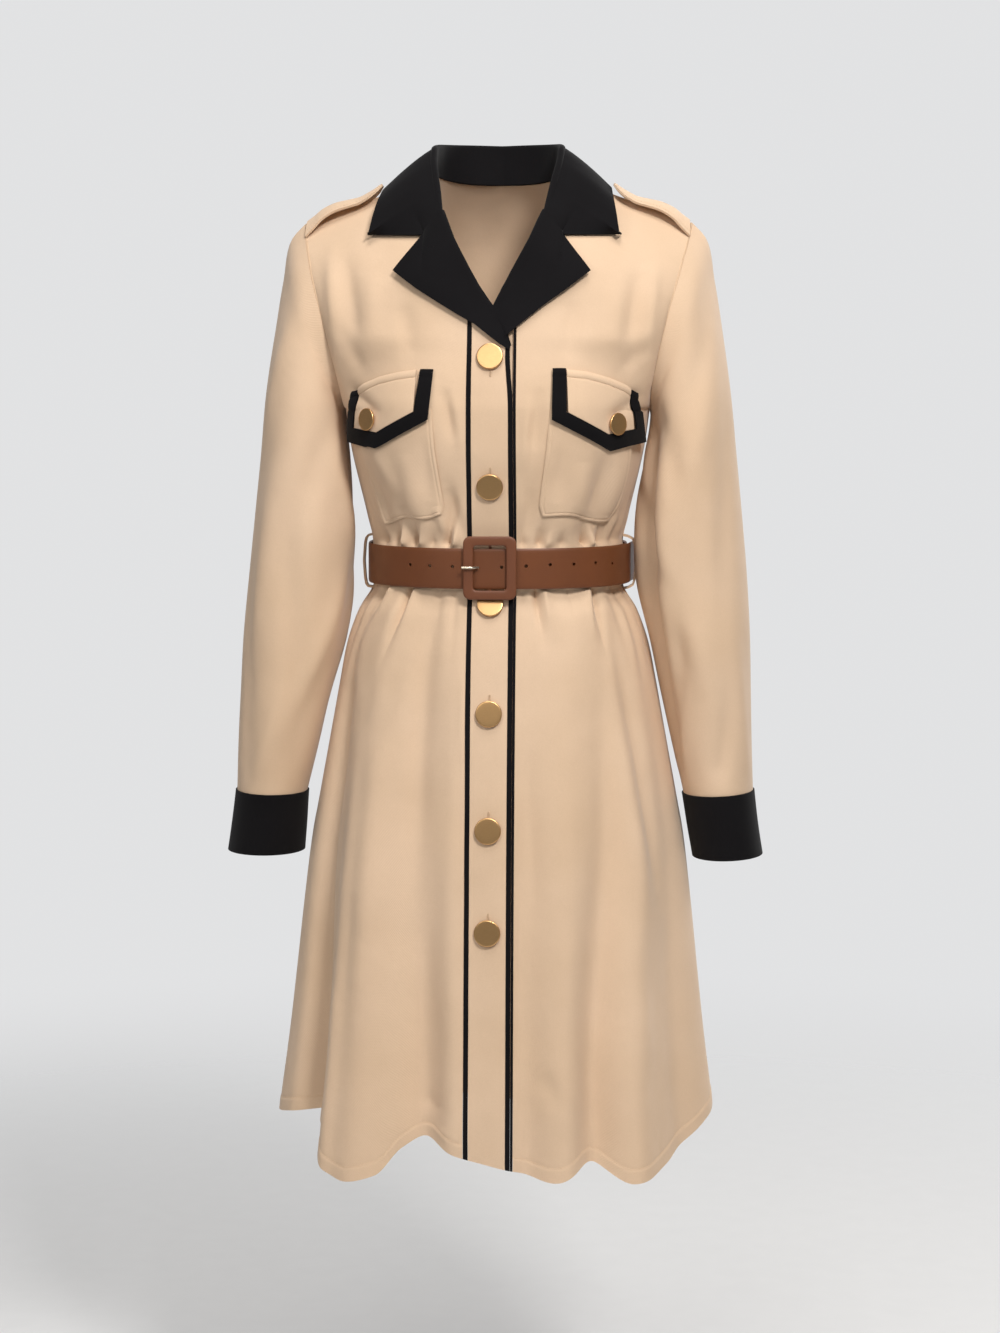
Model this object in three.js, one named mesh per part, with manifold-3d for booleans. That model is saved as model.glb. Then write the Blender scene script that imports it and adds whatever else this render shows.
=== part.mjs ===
// Shirt dress with a leather belt. Millimetres, +Z up, front towards -Y, wearer's right towards -X.
// The origin is where the dress hangs from: midway between the two shoulder neck points.
import * as THREE from 'three';
import Module from 'manifold-3d';

// Driving sizes
const wall = 1.5; // body and sleeve cloth
const seamGap = 0.4; // between pieces sewn together
const neckX = 62; // shoulder seam at the neck
const neckZ = -6;
const shoulderX = 186; // shoulder seam at the sleeve head
const shoulderSlope = 0.37;
const neckRise = 37; // rise of the same roof inside the neck points
const rollDepth = 110; // height over which the shoulder rounds off
const rollPower = 2.3;
const underarmZ = -230;
const armholeHalf = 60; // armhole half width, front to back
const bandHalf = 21.7; // button band half width with its piping
const pipingWide = 4.3;
const pipingUnder = 2.4; // what shows of the piping that the lap covers
const beltZ = -378;
const beltHigh = 38;
const beltThick = 2.2;
const buttonRadius = 12.4;
const flapButtonRadius = 10.6;
const buttonHigh = 3;
const cuffThick = 2;

// Body sections: side half width, depth of centre front and centre back, squareness
const sections = [
  { z: 30, half: 190, front: 64, back: 82, square: 2.3 },
  { z: -10, half: 188, front: 72, back: 90, square: 2.3 },
  { z: -52, half: 186, front: 84, back: 96, square: 2.3 },
  { z: -94, half: 177, front: 92, back: 101, square: 2.3 },
  { z: -142, half: 164, front: 101, back: 103, square: 2.4 },
  { z: -184, half: 154, front: 109, back: 101, square: 2.4 },
  { z: -213, half: 148.5, front: 114, back: 98, square: 2.4 },
  { z: -230, half: 146.5, front: 116, back: 96, square: 2.4 },
  { z: -265, half: 141.5, front: 115, back: 92, square: 2.4 },
  { z: -300, half: 134, front: 110, back: 88, square: 2.35 },
  { z: -335, half: 126, front: 104, back: 85, square: 2.3 },
  { z: -359, half: 121, front: 101, back: 83, square: 2.3 },
  { z: -397, half: 121, front: 101, back: 84, square: 2.3 },
  { z: -424, half: 135, front: 109, back: 95, square: 2.25 },
  { z: -457, half: 146.5, front: 116, back: 105, square: 2.2 },
  { z: -490, half: 153, front: 121, back: 112, square: 2.15 },
  { z: -529, half: 160, front: 126, back: 118, square: 2.1 },
  { z: -562, half: 166, front: 130, back: 122, square: 2.1 },
  { z: -600, half: 173, front: 134, back: 126, square: 2.1 },
  { z: -640, half: 180, front: 138, back: 130, square: 2.1 },
  { z: -713, half: 188, front: 144, back: 136, square: 2.1 },
  { z: -775, half: 194, front: 148, back: 142, square: 2.1 },
  { z: -824, half: 199, front: 151, back: 147, square: 2.1 },
  { z: -858, half: 203, front: 153, back: 150, square: 2.1 },
  { z: -906, half: 209, front: 156, back: 154, square: 2.1 },
  { z: -960, half: 214, front: 159, back: 158, square: 2.1 },
];

// Height of the hem round the skirt; 0 is centre front, 90 the wearer's left side
const hemLine = [
  { at: -180, z: -946 }, { at: -150, z: -940 }, { at: -120, z: -922 }, { at: -100, z: -915 },
  { at: -82, z: -915 }, { at: -70, z: -909 }, { at: -60, z: -904 }, { at: -51, z: -918 },
  { at: -43, z: -945 }, { at: -36, z: -952 }, { at: -28, z: -945 }, { at: -22, z: -920 },
  { at: -16, z: -909 }, { at: -8, z: -921 }, { at: 0, z: -931 }, { at: 8, z: -939 },
  { at: 16, z: -946 }, { at: 27, z: -932 }, { at: 37, z: -951 }, { at: 50, z: -942 },
  { at: 62, z: -928 }, { at: 75, z: -909 }, { at: 88, z: -897 }, { at: 102, z: -900 },
  { at: 122, z: -916 }, { at: 150, z: -938 }, { at: 180, z: -946 },
];

// Skirt folds: angle at the waist and at the hem, height where each starts, depth at the hem, width
const skirtFolds = [
  { waist: -12, hem: -9, start: -400, deep: 2.5, wide: 5 },
  { waist: -24, hem: -16.5, start: -410, deep: -12, wide: 7 },
  { waist: -41, hem: -35, start: -400, deep: 13, wide: 9 },
  { waist: -54, hem: -46, start: -560, deep: 9, wide: 6 },
  { waist: -66, hem: -61, start: -440, deep: -24, wide: 7 },
  { waist: -84, hem: -82, start: -620, deep: 5, wide: 8 },
  { waist: 12, hem: 9, start: -420, deep: -3, wide: 5 },
  { waist: 22, hem: 17, start: -480, deep: 8, wide: 7 },
  { waist: 44, hem: 28, start: -405, deep: -12, wide: 7 },
  { waist: 57, hem: 39, start: -405, deep: 13, wide: 8 },
  { waist: 74, hem: 60, start: -420, deep: -7, wide: 7 },
  { waist: 88, hem: 78, start: -620, deep: 5, wide: 8 },
  { waist: -104, hem: -106, start: -470, deep: -10, wide: 8 },
  { waist: -122, hem: -124, start: -430, deep: 12, wide: 9 },
  { waist: -141, hem: -143, start: -450, deep: -10, wide: 8 },
  { waist: -160, hem: -161, start: -420, deep: 11, wide: 9 },
  { waist: 178, hem: 179, start: -450, deep: -8, wide: 9 },
  { waist: 161, hem: 160, start: -425, deep: 12, wide: 9 },
  { waist: 140, hem: 141, start: -460, deep: -11, wide: 9 },
  { waist: 121, hem: 121, start: -430, deep: 11, wide: 9 },
  { waist: 104, hem: 102, start: -480, deep: -9, wide: 8 },
];

// Bodice fullness, by distance from the centre and height
const bodiceFolds = [
  { x: 76, z: -236, deep: 7, wide: 38, high: 55 },
  { x: 66, z: -325, deep: 3, wide: 14, high: 28 },
  { x: 100, z: -322, deep: -2.5, wide: 13, high: 30 },
];

// Line where each front turns back as a lapel
const rollLine = [
  { z: 0, x: 58 }, { z: -25, x: 55 }, { z: -42, x: 50 }, { z: -55, x: 46 }, { z: -70, x: 39 },
  { z: -85, x: 31 }, { z: -100, x: 23 }, { z: -115, x: 14.5 }, { z: -128, x: 7 }, { z: -139, x: 1 },
];

function columnAt(table, key, name, value) {
  let rows = table;
  if (rows[0][key] > rows[rows.length - 1][key]) {
    rows = [...table].reverse();
  }
  const last = rows.length - 1;
  if (value <= rows[0][key]) {
    return rows[0][name];
  }
  if (value >= rows[last][key]) {
    return rows[last][name];
  }
  let i = 0;
  while (rows[i + 1][key] < value) {
    i += 1;
  }
  const slope = k => (rows[k + 1][name] - rows[k][name]) / (rows[k + 1][key] - rows[k][key]);
  const tangent = k => {
    if (k === 0) {
      return slope(0);
    }
    if (k === last) {
      return slope(last - 1);
    }
    const a = slope(k - 1);
    const b = slope(k);
    return a * b <= 0 ? 0 : (2 * a * b) / (a + b);
  };
  const step = rows[i + 1][key] - rows[i][key];
  const t = (value - rows[i][key]) / step;
  const t2 = t * t;
  const t3 = t2 * t;
  return (2 * t3 - 3 * t2 + 1) * rows[i][name]
    + (t3 - 2 * t2 + t) * step * tangent(i)
    + (3 * t2 - 2 * t3) * rows[i + 1][name]
    + (t3 - t2) * step * tangent(i + 1);
}

function clamp(value, low, high) {
  return Math.min(Math.max(value, low), high);
}

function smooth(value) {
  const t = clamp(value, 0, 1);
  return t * t * (3 - 2 * t);
}

function mix(a, b, t) {
  return a + (b - a) * t;
}

// Height of the shoulder roof over a distance from the centre
function roofAt(x) {
  const side = Math.abs(x);
  if (side > neckX) {
    return neckZ - (side - neckX) * shoulderSlope;
  }
  return neckZ + neckRise * Math.sqrt(1 - (side / neckX) ** 2);
}

function rollOff(drop) {
  return 1 - (1 - clamp(drop / rollDepth, 0, 1)) ** rollPower;
}

// Distance of the armhole edge from the shoulder plane, before the shoulder rounds off
function armholeDepth(z) {
  if (z <= underarmZ) {
    return 0;
  }
  const low = clamp((-150 - z) / (-150 - underarmZ), 0, 1);
  return armholeHalf * Math.sqrt(1 - low ** 2.2);
}

function angleOf(x, z, side) {
  const half = columnAt(sections, 'z', 'half', z);
  const square = columnAt(sections, 'z', 'square', z);
  const theta = Math.asin(clamp(Math.abs(x) / half, 0, 1) ** (square / 2)) * 180 / Math.PI;
  const turn = side === 'front' ? theta : 180 - theta;
  return x < 0 ? -turn : turn;
}

function foldAt(x, z, side) {
  let sum = 0;
  if (z < -397) {
    const at = angleOf(x, z, side);
    for (const fold of skirtFolds) {
      const centre = mix(fold.waist, fold.hem, smooth((-400 - z) / 520));
      let off = at - centre;
      if (off > 180) {
        off -= 360;
      }
      if (off < -180) {
        off += 360;
      }
      const grow = clamp((fold.start - z) / (fold.start + 930), 0, 1.1) ** 0.8;
      sum += fold.deep * grow * Math.exp(-((off / fold.wide) ** 2));
    }
  } else if (side === 'front') {
    for (const fold of bodiceFolds) {
      const across = Math.exp(-(((Math.abs(x) - fold.x) / fold.wide) ** 2));
      const down = Math.exp(-(((z - fold.z) / fold.high) ** 2));
      sum += fold.deep * across * down * smooth((z + 362) / 22);
    }
  }
  return sum;
}

// Point of the outer face of the cloth at a distance from the centre and a height
function bodyPoint(x, z, side) {
  const half = columnAt(sections, 'z', 'half', z);
  const square = columnAt(sections, 'z', 'square', z);
  const centre = columnAt(sections, 'z', side, z);
  const ratio = clamp(Math.abs(x) / half, 0, 1);
  const edge = z <= underarmZ ? square : mix(square, 1.15, smooth((z - underarmZ) / 40));
  const reach = z <= underarmZ ? 8 : mix(8, 0.01, smooth((z - underarmZ) / 70));
  const arm = armholeDepth(z) * ratio ** reach;
  const depth = (arm + (centre - arm) * (1 - ratio ** square) ** (1 / edge)) * rollOff(roofAt(x) - z);
  const fold = foldAt(x, z, side);
  const nx = x / (half * half);
  const ny = depth / (centre * centre);
  const long = Math.hypot(nx, ny) || 1;
  const y = depth + fold * ny / long;
  return new THREE.Vector3(x + fold * nx / long, side === 'front' ? -y : y, z);
}

// The same point moved out along the cloth's own normal
function layPoint(x, z, out, side = 'front') {
  const step = 1.5;
  const across = bodyPoint(x + step, z, side).sub(bodyPoint(x - step, z, side));
  const up = bodyPoint(x, z + step, side).sub(bodyPoint(x, z - step, side));
  const normal = across.cross(up).normalize();
  if (side === 'back') {
    normal.negate();
  }
  return bodyPoint(x, z, side).addScaledVector(normal, out);
}

function gridNormals(grid, closed, flip) {
  const rows = grid.length;
  const cols = grid[0].length;
  return grid.map((row, i) => row.map((point, j) => {
    const left = closed ? row[(j - 1 + cols) % cols] : row[Math.max(j - 1, 0)];
    const right = closed ? row[(j + 1) % cols] : row[Math.min(j + 1, cols - 1)];
    const low = grid[Math.max(i - 1, 0)][j];
    const high = grid[Math.min(i + 1, rows - 1)][j];
    const normal = right.clone().sub(left).cross(high.clone().sub(low)).normalize();
    return flip ? normal.negate() : normal;
  }));
}

const materials = {
  cloth: new THREE.MeshStandardMaterial({ color: 0xdcb993, roughness: 0.9, metalness: 0 }),
  trim: new THREE.MeshStandardMaterial({ color: 0x1c1a1c, roughness: 0.85, metalness: 0 }),
  leather: new THREE.MeshStandardMaterial({ color: 0x7d4829, roughness: 0.5, metalness: 0 }),
  metal: new THREE.MeshStandardMaterial({ color: 0xb39a6c, roughness: 0.35, metalness: 1 }),
};
const group = new THREE.Group();
group.name = 'shirt_dress';

function addSolid(name, points, faces, material) {
  let volume = 0;
  for (const [a, b, c] of faces) {
    volume += points[a].dot(points[b].clone().cross(points[c]));
  }
  const index = faces.flatMap(([a, b, c]) => (volume < 0 ? [a, c, b] : [a, b, c]));
  const geometry = new THREE.BufferGeometry().setFromPoints(points);
  geometry.setIndex(index);
  geometry.computeVertexNormals();
  const mesh = new THREE.Mesh(geometry, materials[material]);
  mesh.name = name;
  group.add(mesh);
  return mesh;
}

// Closed thin wall: the grid is its visible face, the other face lies inside it
function addShell(name, grid, thick, material, options = {}) {
  const closed = options.closed || false;
  const rows = grid.length;
  const cols = grid[0].length;
  const normals = gridNormals(grid, closed, options.flip || false);
  const outer = grid.flat();
  const inner = [];
  for (let i = 0; i < rows; i += 1) {
    for (let j = 0; j < cols; j += 1) {
      let normal = normals[i][j];
      if (options.turn) {
        normal = options.turn(normal, i, j).normalize();
      }
      inner.push(grid[i][j].clone().addScaledVector(normal, -thick));
    }
  }
  const points = [...outer, ...inner];
  const deep = rows * cols;
  const faces = [];
  const quad = (a, b, c, d) => {
    faces.push([a, b, c], [a, c, d]);
  };
  const last = closed ? cols : cols - 1;
  for (let i = 0; i < rows - 1; i += 1) {
    for (let j = 0; j < last; j += 1) {
      const a = i * cols + j;
      const b = i * cols + (j + 1) % cols;
      const c = b + cols;
      const d = a + cols;
      quad(a, b, c, d);
      quad(deep + a, deep + d, deep + c, deep + b);
    }
  }
  for (let j = 0; j < last; j += 1) {
    const next = (j + 1) % cols;
    const top = (rows - 1) * cols;
    quad(j, deep + j, deep + next, next);
    quad(top + j, top + next, deep + top + next, deep + top + j);
  }
  if (!closed) {
    for (let i = 0; i < rows - 1; i += 1) {
      const a = i * cols;
      const b = a + cols;
      quad(a, b, deep + b, deep + a);
      const c = a + cols - 1;
      const d = c + cols;
      quad(c, deep + c, deep + d, d);
    }
  }
  return addSolid(name, points, faces, material);
}

// Grid between two lists of the same length, each entry { x, z, out }
function between(first, second, steps) {
  return first.map((a, i) => {
    const b = second[i];
    const row = [];
    for (let k = 0; k <= steps; k += 1) {
      const t = k / steps;
      row.push({ x: mix(a.x, b.x, t), z: mix(a.z, b.z, t), out: mix(a.out || 0, b.out || 0, t) });
    }
    return row;
  });
}

function lay(grid, rise = 0) {
  return grid.map(row => row.map(p => layPoint(p.x, p.z, p.out + rise)));
}

// More points along a list, each stretch cut into equal parts
function refine(list, parts) {
  const out = [];
  for (let i = 0; i < list.length - 1; i += 1) {
    for (let k = 0; k < parts; k += 1) {
      const t = k / parts;
      const mixed = {};
      for (const key of Object.keys(list[i])) {
        mixed[key] = mix(list[i][key], list[i + 1][key], t);
      }
      out.push(mixed);
    }
  }
  out.push({ ...list[list.length - 1] });
  return out;
}

function hemAt(angle) {
  return columnAt(hemLine, 'at', 'z', angle);
}

function hemUnder(x, side = 'front') {
  return hemAt(angleOf(x, -925, side));
}

// Rows of the body panels: height at the inner edge and at the side or armhole edge
const upperRows = [
  { inner: -230, outer: -230 },
  { inner: -225, outer: -225 },
  { inner: -213, outer: -213 },
  { inner: -193, outer: -195 },
  { inner: -165, outer: -170 },
  { inner: -134, outer: -140 },
  { inner: -104, outer: -110 },
  { inner: -74, outer: -85 },
  { inner: -40, outer: -65 },
  { inner: -6, outer: -52 },
];
const bodiceRows = [-262, -296, -330, -360, -397, -416, -440];
const skirtRows = 8;

function sideX(z, theta) {
  const half = columnAt(sections, 'z', 'half', z);
  const square = columnAt(sections, 'z', 'square', z);
  return half * Math.sin(theta) ** (2 / square);
}

function startAngle(x, z) {
  return angleOf(x, z, 'front') * Math.PI / 180;
}

function frontEdgeX(z, low) {
  const turn = columnAt(rollLine, 'z', 'x', z) + 2.6;
  return z > -106 ? Math.max(turn, low) : low;
}

// One front: columns from the button band to the side, rows from the hem up to the shoulder seam
function addFront(name, sign, inner) {
  const cols = 17;
  const grid = [];
  const push = (lowZ, highZ, hem) => {
    const row = [];
    const start = frontEdgeX(lowZ, inner);
    const first = startAngle(start, highZ === lowZ ? lowZ : -110);
    const outerZ = highZ;
    for (let j = 0; j <= cols; j += 1) {
      const theta = mix(first, Math.PI / 2, j / cols);
      let z = outerZ;
      let x = sideX(outerZ, theta);
      if (hem !== undefined) {
        z = mix(-440, hemAt(sign * theta * 180 / Math.PI), hem);
        x = j === 0 ? inner : sideX(z, mix(startAngle(inner, z), Math.PI / 2, j / cols));
      } else {
        const from = sideX(outerZ, first);
        const edge = columnAt(sections, 'z', 'half', outerZ);
        const share = j === 0 ? 0 : (x - from) / (edge - from);
        x = mix(start, edge, share);
        z = mix(lowZ, outerZ, share);
      }
      const point = bodyPoint(sign * x, z, 'front');
      if (j === cols && z <= underarmZ) {
        point.y = -seamGap / 2;
      }
      row.push(point);
    }
    grid.push(row);
  };
  for (let k = skirtRows; k > 0; k -= 1) {
    push(-900, -900, k / skirtRows);
  }
  for (const z of [...bodiceRows].reverse()) {
    push(z, z);
  }
  for (const level of upperRows) {
    push(level.inner, level.outer);
  }
  const top = grid.length - 1;
  grid[top].forEach(point => {
    point.y = -seamGap / 2;
  });
  const arm = top - upperRows.length + 1;
  addShell(name, grid, wall, 'cloth', {
    flip: sign < 0,
    turn: (normal, i, j) => {
      if (j === 0 && i < top) {
        normal.x = 0;
      }
      if ((j === cols && i <= arm) || i === top) {
        normal.y = 0;
      }
      if (j === cols && i > arm) {
        normal.x = sign * Math.max(Math.abs(normal.x), 0.3);
      }
      return normal;
    },
  });
}

function addBack() {
  const cols = 14;
  const grid = [];
  const push = (lowZ, highZ, hem) => {
    const half = [];
    for (let j = 0; j <= cols; j += 1) {
      const theta = j / cols * Math.PI / 2;
      half.push({ theta, share: j / cols });
    }
    const both = [
      ...half.slice(1).reverse().map(p => ({ ...p, sign: -1 })),
      ...half.map(p => ({ ...p, sign: 1 })),
    ];
    grid.push(both.map(({ theta, sign }) => {
      if (hem !== undefined) {
        const z = mix(-440, hemAt(sign * (180 - theta * 180 / Math.PI)), hem);
        const point = bodyPoint(sign * sideX(z, theta), z, 'back');
        if (theta > 1.57) {
          point.y = seamGap / 2;
        }
        return point;
      }
      const x = sideX(highZ, theta);
      const z = highZ === lowZ ? highZ : mix(lowZ, highZ, x / columnAt(sections, 'z', 'half', highZ));
      const point = bodyPoint(sign * x, z, 'back');
      if (theta > 1.57 && z <= underarmZ) {
        point.y = seamGap / 2;
      }
      return point;
    }));
  };
  for (let k = skirtRows; k > 0; k -= 1) {
    push(-900, -900, k / skirtRows);
  }
  for (const z of [...bodiceRows].reverse()) {
    push(z, z);
  }
  const armRow = grid.length;
  const count = upperRows.length;
  for (let k = 0; k < count; k += 1) {
    const low = mix(underarmZ, -10, (k / (count - 1)) ** 0.9);
    const high = upperRows[k].outer;
    if (k < count - 1) {
      push(low, high);
    }
  }
  // top row: neckline, then the shoulder seams
  const topRow = grid[grid.length - 1].map(point => {
    const share = Math.abs(point.x) / columnAt(sections, 'z', 'half', -65);
    const x = Math.sign(point.x) * shoulderX * share;
    const side = Math.abs(x);
    if (side >= neckX) {
      return new THREE.Vector3(x, seamGap / 2, roofAt(x));
    }
    const z = mix(-12, neckZ, (side / neckX) ** 3);
    const flat = bodyPoint(x, z, 'back');
    return flat;
  });
  grid.push(topRow);
  const top = grid.length - 1;
  const wide = grid[0].length - 1;
  addShell('back', grid, wall, 'cloth', {
    flip: true,
    turn: (normal, i, j) => {
      const edge = j === 0 || j === wide;
      if ((edge && i <= armRow) || (i === top && Math.abs(grid[i][j].x) >= neckX)) {
        normal.y = 0;
      }
      if (edge && i > armRow) {
        normal.x = Math.sign(grid[i][j].x) * Math.max(Math.abs(normal.x), 0.3);
      }
      return normal;
    },
  });
}

addFront('front_right', -1, bandHalf + seamGap);
addFront('front_left', 1, bandHalf + pipingUnder + 2 * seamGap);
addBack();

// Sleeves: rings from the armhole down; outer and inner silhouette, front to back size, forward lean
const sleeveRings = {
  right: [
    { outX: 199, outZ: -66, inX: 148.2, inZ: -234, deep: 122, lean: 0 },
    { outX: 208, outZ: -108, inX: 148.4, inZ: -243, deep: 124, lean: -1 },
    { outX: 216, outZ: -158, inX: 147.6, inZ: -256, deep: 126, lean: -2 },
    { outX: 223, outZ: -208, inX: 145.5, inZ: -274, deep: 126, lean: -3 },
    { outX: 229.5, outZ: -278, inX: 143, inZ: -312, deep: 124, lean: -4 },
    { outX: 235, outZ: -330, inX: 142.5, inZ: -346, deep: 121, lean: -5 },
    { outX: 241, outZ: -388, inX: 144.5, inZ: -392, deep: 116, lean: -6 },
    { outX: 247, outZ: -452, inX: 153, inZ: -454, deep: 110, lean: -8 },
    { outX: 249.5, outZ: -500, inX: 163.5, inZ: -501, deep: 102, lean: -9 },
    { outX: 252, outZ: -550, inX: 174.5, inZ: -551, deep: 94, lean: -10 },
    { outX: 253.5, outZ: -601, inX: 187, inZ: -602, deep: 84, lean: -11 },
  ],
  left: [
    { outX: 199, outZ: -66, inX: 148.2, inZ: -234, deep: 122, lean: 0 },
    { outX: 208, outZ: -108, inX: 148.4, inZ: -243, deep: 124, lean: -1 },
    { outX: 216, outZ: -158, inX: 147.6, inZ: -256, deep: 126, lean: -2 },
    { outX: 223, outZ: -208, inX: 144.5, inZ: -274, deep: 126, lean: -3 },
    { outX: 230, outZ: -278, inX: 139, inZ: -312, deep: 124, lean: -4 },
    { outX: 235, outZ: -330, inX: 137.5, inZ: -346, deep: 121, lean: -5 },
    { outX: 240, outZ: -388, inX: 139.5, inZ: -392, deep: 116, lean: -6 },
    { outX: 243.5, outZ: -452, inX: 153.5, inZ: -454, deep: 110, lean: -8 },
    { outX: 244.5, outZ: -500, inX: 162, inZ: -501, deep: 102, lean: -9 },
    { outX: 245.5, outZ: -550, inX: 171.5, inZ: -551, deep: 94, lean: -10 },
    { outX: 247, outZ: -597, inX: 181.5, inZ: -600, deep: 84, lean: -11 },
  ],
};
const cuffRings = {
  right: [
    { outX: 253.8, outZ: -601.4, inX: 186.7, inZ: -602.4, deep: 84.6, lean: -11 },
    { outX: 258, outZ: -632, inX: 188, inZ: -633, deep: 86, lean: -12 },
    { outX: 261.5, outZ: -660, inX: 190.5, inZ: -660, deep: 86, lean: -13 },
  ],
  left: [
    { outX: 247.3, outZ: -597.4, inX: 181.2, inZ: -600.4, deep: 84.6, lean: -11 },
    { outX: 251.5, outZ: -630, inX: 186, inZ: -633, deep: 86, lean: -12 },
    { outX: 255.5, outZ: -659, inX: 191.5, inZ: -661, deep: 86, lean: -13 },
  ],
};

// Armhole loop: up the front edge to the shoulder, down the back edge
function armholeLoop() {
  const rise = upperRows.map(level => level.outer);
  const along = [
    ...rise.map(z => ({ z, way: -1 })),
    ...rise.slice(1, -1).reverse().map(z => ({ z, way: 1 })),
  ];
  return along.map(({ z, way }) => {
    const x = columnAt(sections, 'z', 'half', z);
    return { x, y: way * armholeDepth(z) * rollOff(roofAt(x) - z), z };
  });
}

function ringPoint(ring, index, count, sign, home) {
  const angle = Math.PI - index / count * 2 * Math.PI;
  let share = (1 + Math.cos(angle)) / 2;
  let y = -Math.sin(angle) * ring.deep / 2;
  if (home) {
    share = mix((home.z - underarmZ) / (-52 - underarmZ), share, home.blend);
    y = mix(home.y, y, home.blend);
  }
  const x = mix(ring.inX, ring.outX, share);
  const z = mix(ring.inZ, ring.outZ, share);
  return new THREE.Vector3(sign * x, y + ring.lean, z);
}

function addSleeve(name, sign, rings) {
  const loop = armholeLoop();
  const count = loop.length;
  const grid = [loop.map(p => new THREE.Vector3(sign * (p.x + seamGap + 0.15), p.y, p.z - seamGap))];
  rings.forEach((ring, k) => {
    const blend = smooth((k + 0.6) / 3.6);
    grid.push(loop.map((p, i) => ringPoint(ring, i, count, sign, { z: p.z, y: p.y, blend })));
  });
  addShell(name, grid, wall, 'cloth', {
    closed: true,
    flip: sign < 0,
    turn: (normal, i) => {
      if (i === 0) {
        normal.x = sign * Math.min(sign * normal.x, 0.1);
      }
      return normal;
    },
  });
}

function addCuff(name, sign, rings) {
  const count = 22;
  const grid = rings.map(ring => {
    const row = [];
    for (let i = 0; i < count; i += 1) {
      row.push(ringPoint(ring, i, count, sign));
    }
    return row;
  });
  addShell(name, grid, cuffThick, 'trim', { closed: true, flip: sign < 0 });
}

addSleeve('sleeve_right', -1, sleeveRings.right);
addSleeve('sleeve_left', 1, sleeveRings.left);
addCuff('cuff_right', -1, cuffRings.right);
addCuff('cuff_left', 1, cuffRings.left);

// Button band: the wearer's right laps over; its free edge swings in below the lapels
const bandRows = [-150, -175, -200, -230, -262, -296, -330, -360, -397, -416, -440];

function bandList(x, edge, ends) {
  const list = bandRows.filter(z => z < ends).map(z => ({ x: edge ? edge(z) : x, z, out: 0 }));
  for (let k = 1; k <= skirtRows; k += 1) {
    list.push({ x, z: mix(-440, hemUnder(x), k / skirtRows), out: 0 });
  }
  return list;
}

function lapEdge(z) {
  return z > -230 ? mix(18.5, bandHalf, smooth((-176 - z) / 54)) : bandHalf;
}

const plain = { turn: normal => new THREE.Vector3(0, normal.y, normal.z) };
const innerBand = bandHalf - pipingWide - seamGap;
const lapTop = { x: 15, z: -169, out: 0 };
addShell('placket_right', lay(between(
  [{ x: -innerBand, z: -114, out: 0 }, { x: -innerBand, z: -145, out: 0 }, ...bandList(-innerBand, null, -170)],
  [{ x: 1, z: -142, out: 0 }, { ...lapTop }, ...bandList(innerBand, z => lapEdge(z) - pipingWide - seamGap, -170)],
  4,
)), wall, 'cloth', { ...plain, flip: true });
addShell('piping_right_seam', lay(between(
  [{ x: -bandHalf, z: -108, out: 0.3 }, { x: -bandHalf, z: -130, out: 0.3 }, ...bandList(-bandHalf, null, -140)],
  [{ x: -bandHalf + pipingWide, z: -111, out: 0.3 }, { x: -bandHalf + pipingWide, z: -130, out: 0.3 },
    ...bandList(-bandHalf + pipingWide, null, -140)],
  1,
)), 1.8, 'trim', { ...plain, flip: true });
addShell('piping_right_edge', lay(between(
  [{ x: lapEdge(-177) - pipingWide, z: -177, out: 0 },
    ...bandList(bandHalf - pipingWide, z => lapEdge(z) - pipingWide, -177)],
  [{ x: lapEdge(-177), z: -177, out: 0 }, ...bandList(bandHalf, lapEdge, -177)],
  1,
)), 1.8, 'trim', { ...plain, flip: true });
addShell('piping_left_seam', lay(between(
  [{ x: bandHalf + seamGap, z: -108, out: 0.3 }, { x: bandHalf + seamGap, z: -135, out: 0.3 },
    ...bandList(bandHalf + seamGap, null, -140)],
  [{ x: bandHalf + seamGap + pipingUnder, z: -104, out: 0.3 },
    { x: bandHalf + seamGap + pipingUnder, z: -135, out: 0.3 },
    ...bandList(bandHalf + seamGap + pipingUnder, null, -140)],
  1,
)), 1.8, 'trim', { ...plain, flip: true });
addShell('placket_left', lay(between(
  [{ x: 4, z: -141, out: -3 }, { x: -6, z: -156, out: -3 }, ...bandList(-12, null, -170).map(p => ({ ...p, out: -3 }))],
  [{ x: bandHalf - 0.5, z: -112, out: -3 }, { x: bandHalf - 0.5, z: -145, out: -3 },
    ...bandList(bandHalf - 0.5, null, -170).map(p => ({ ...p, out: -3 }))],
  3,
)), wall, 'cloth', { ...plain, flip: true });

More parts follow.
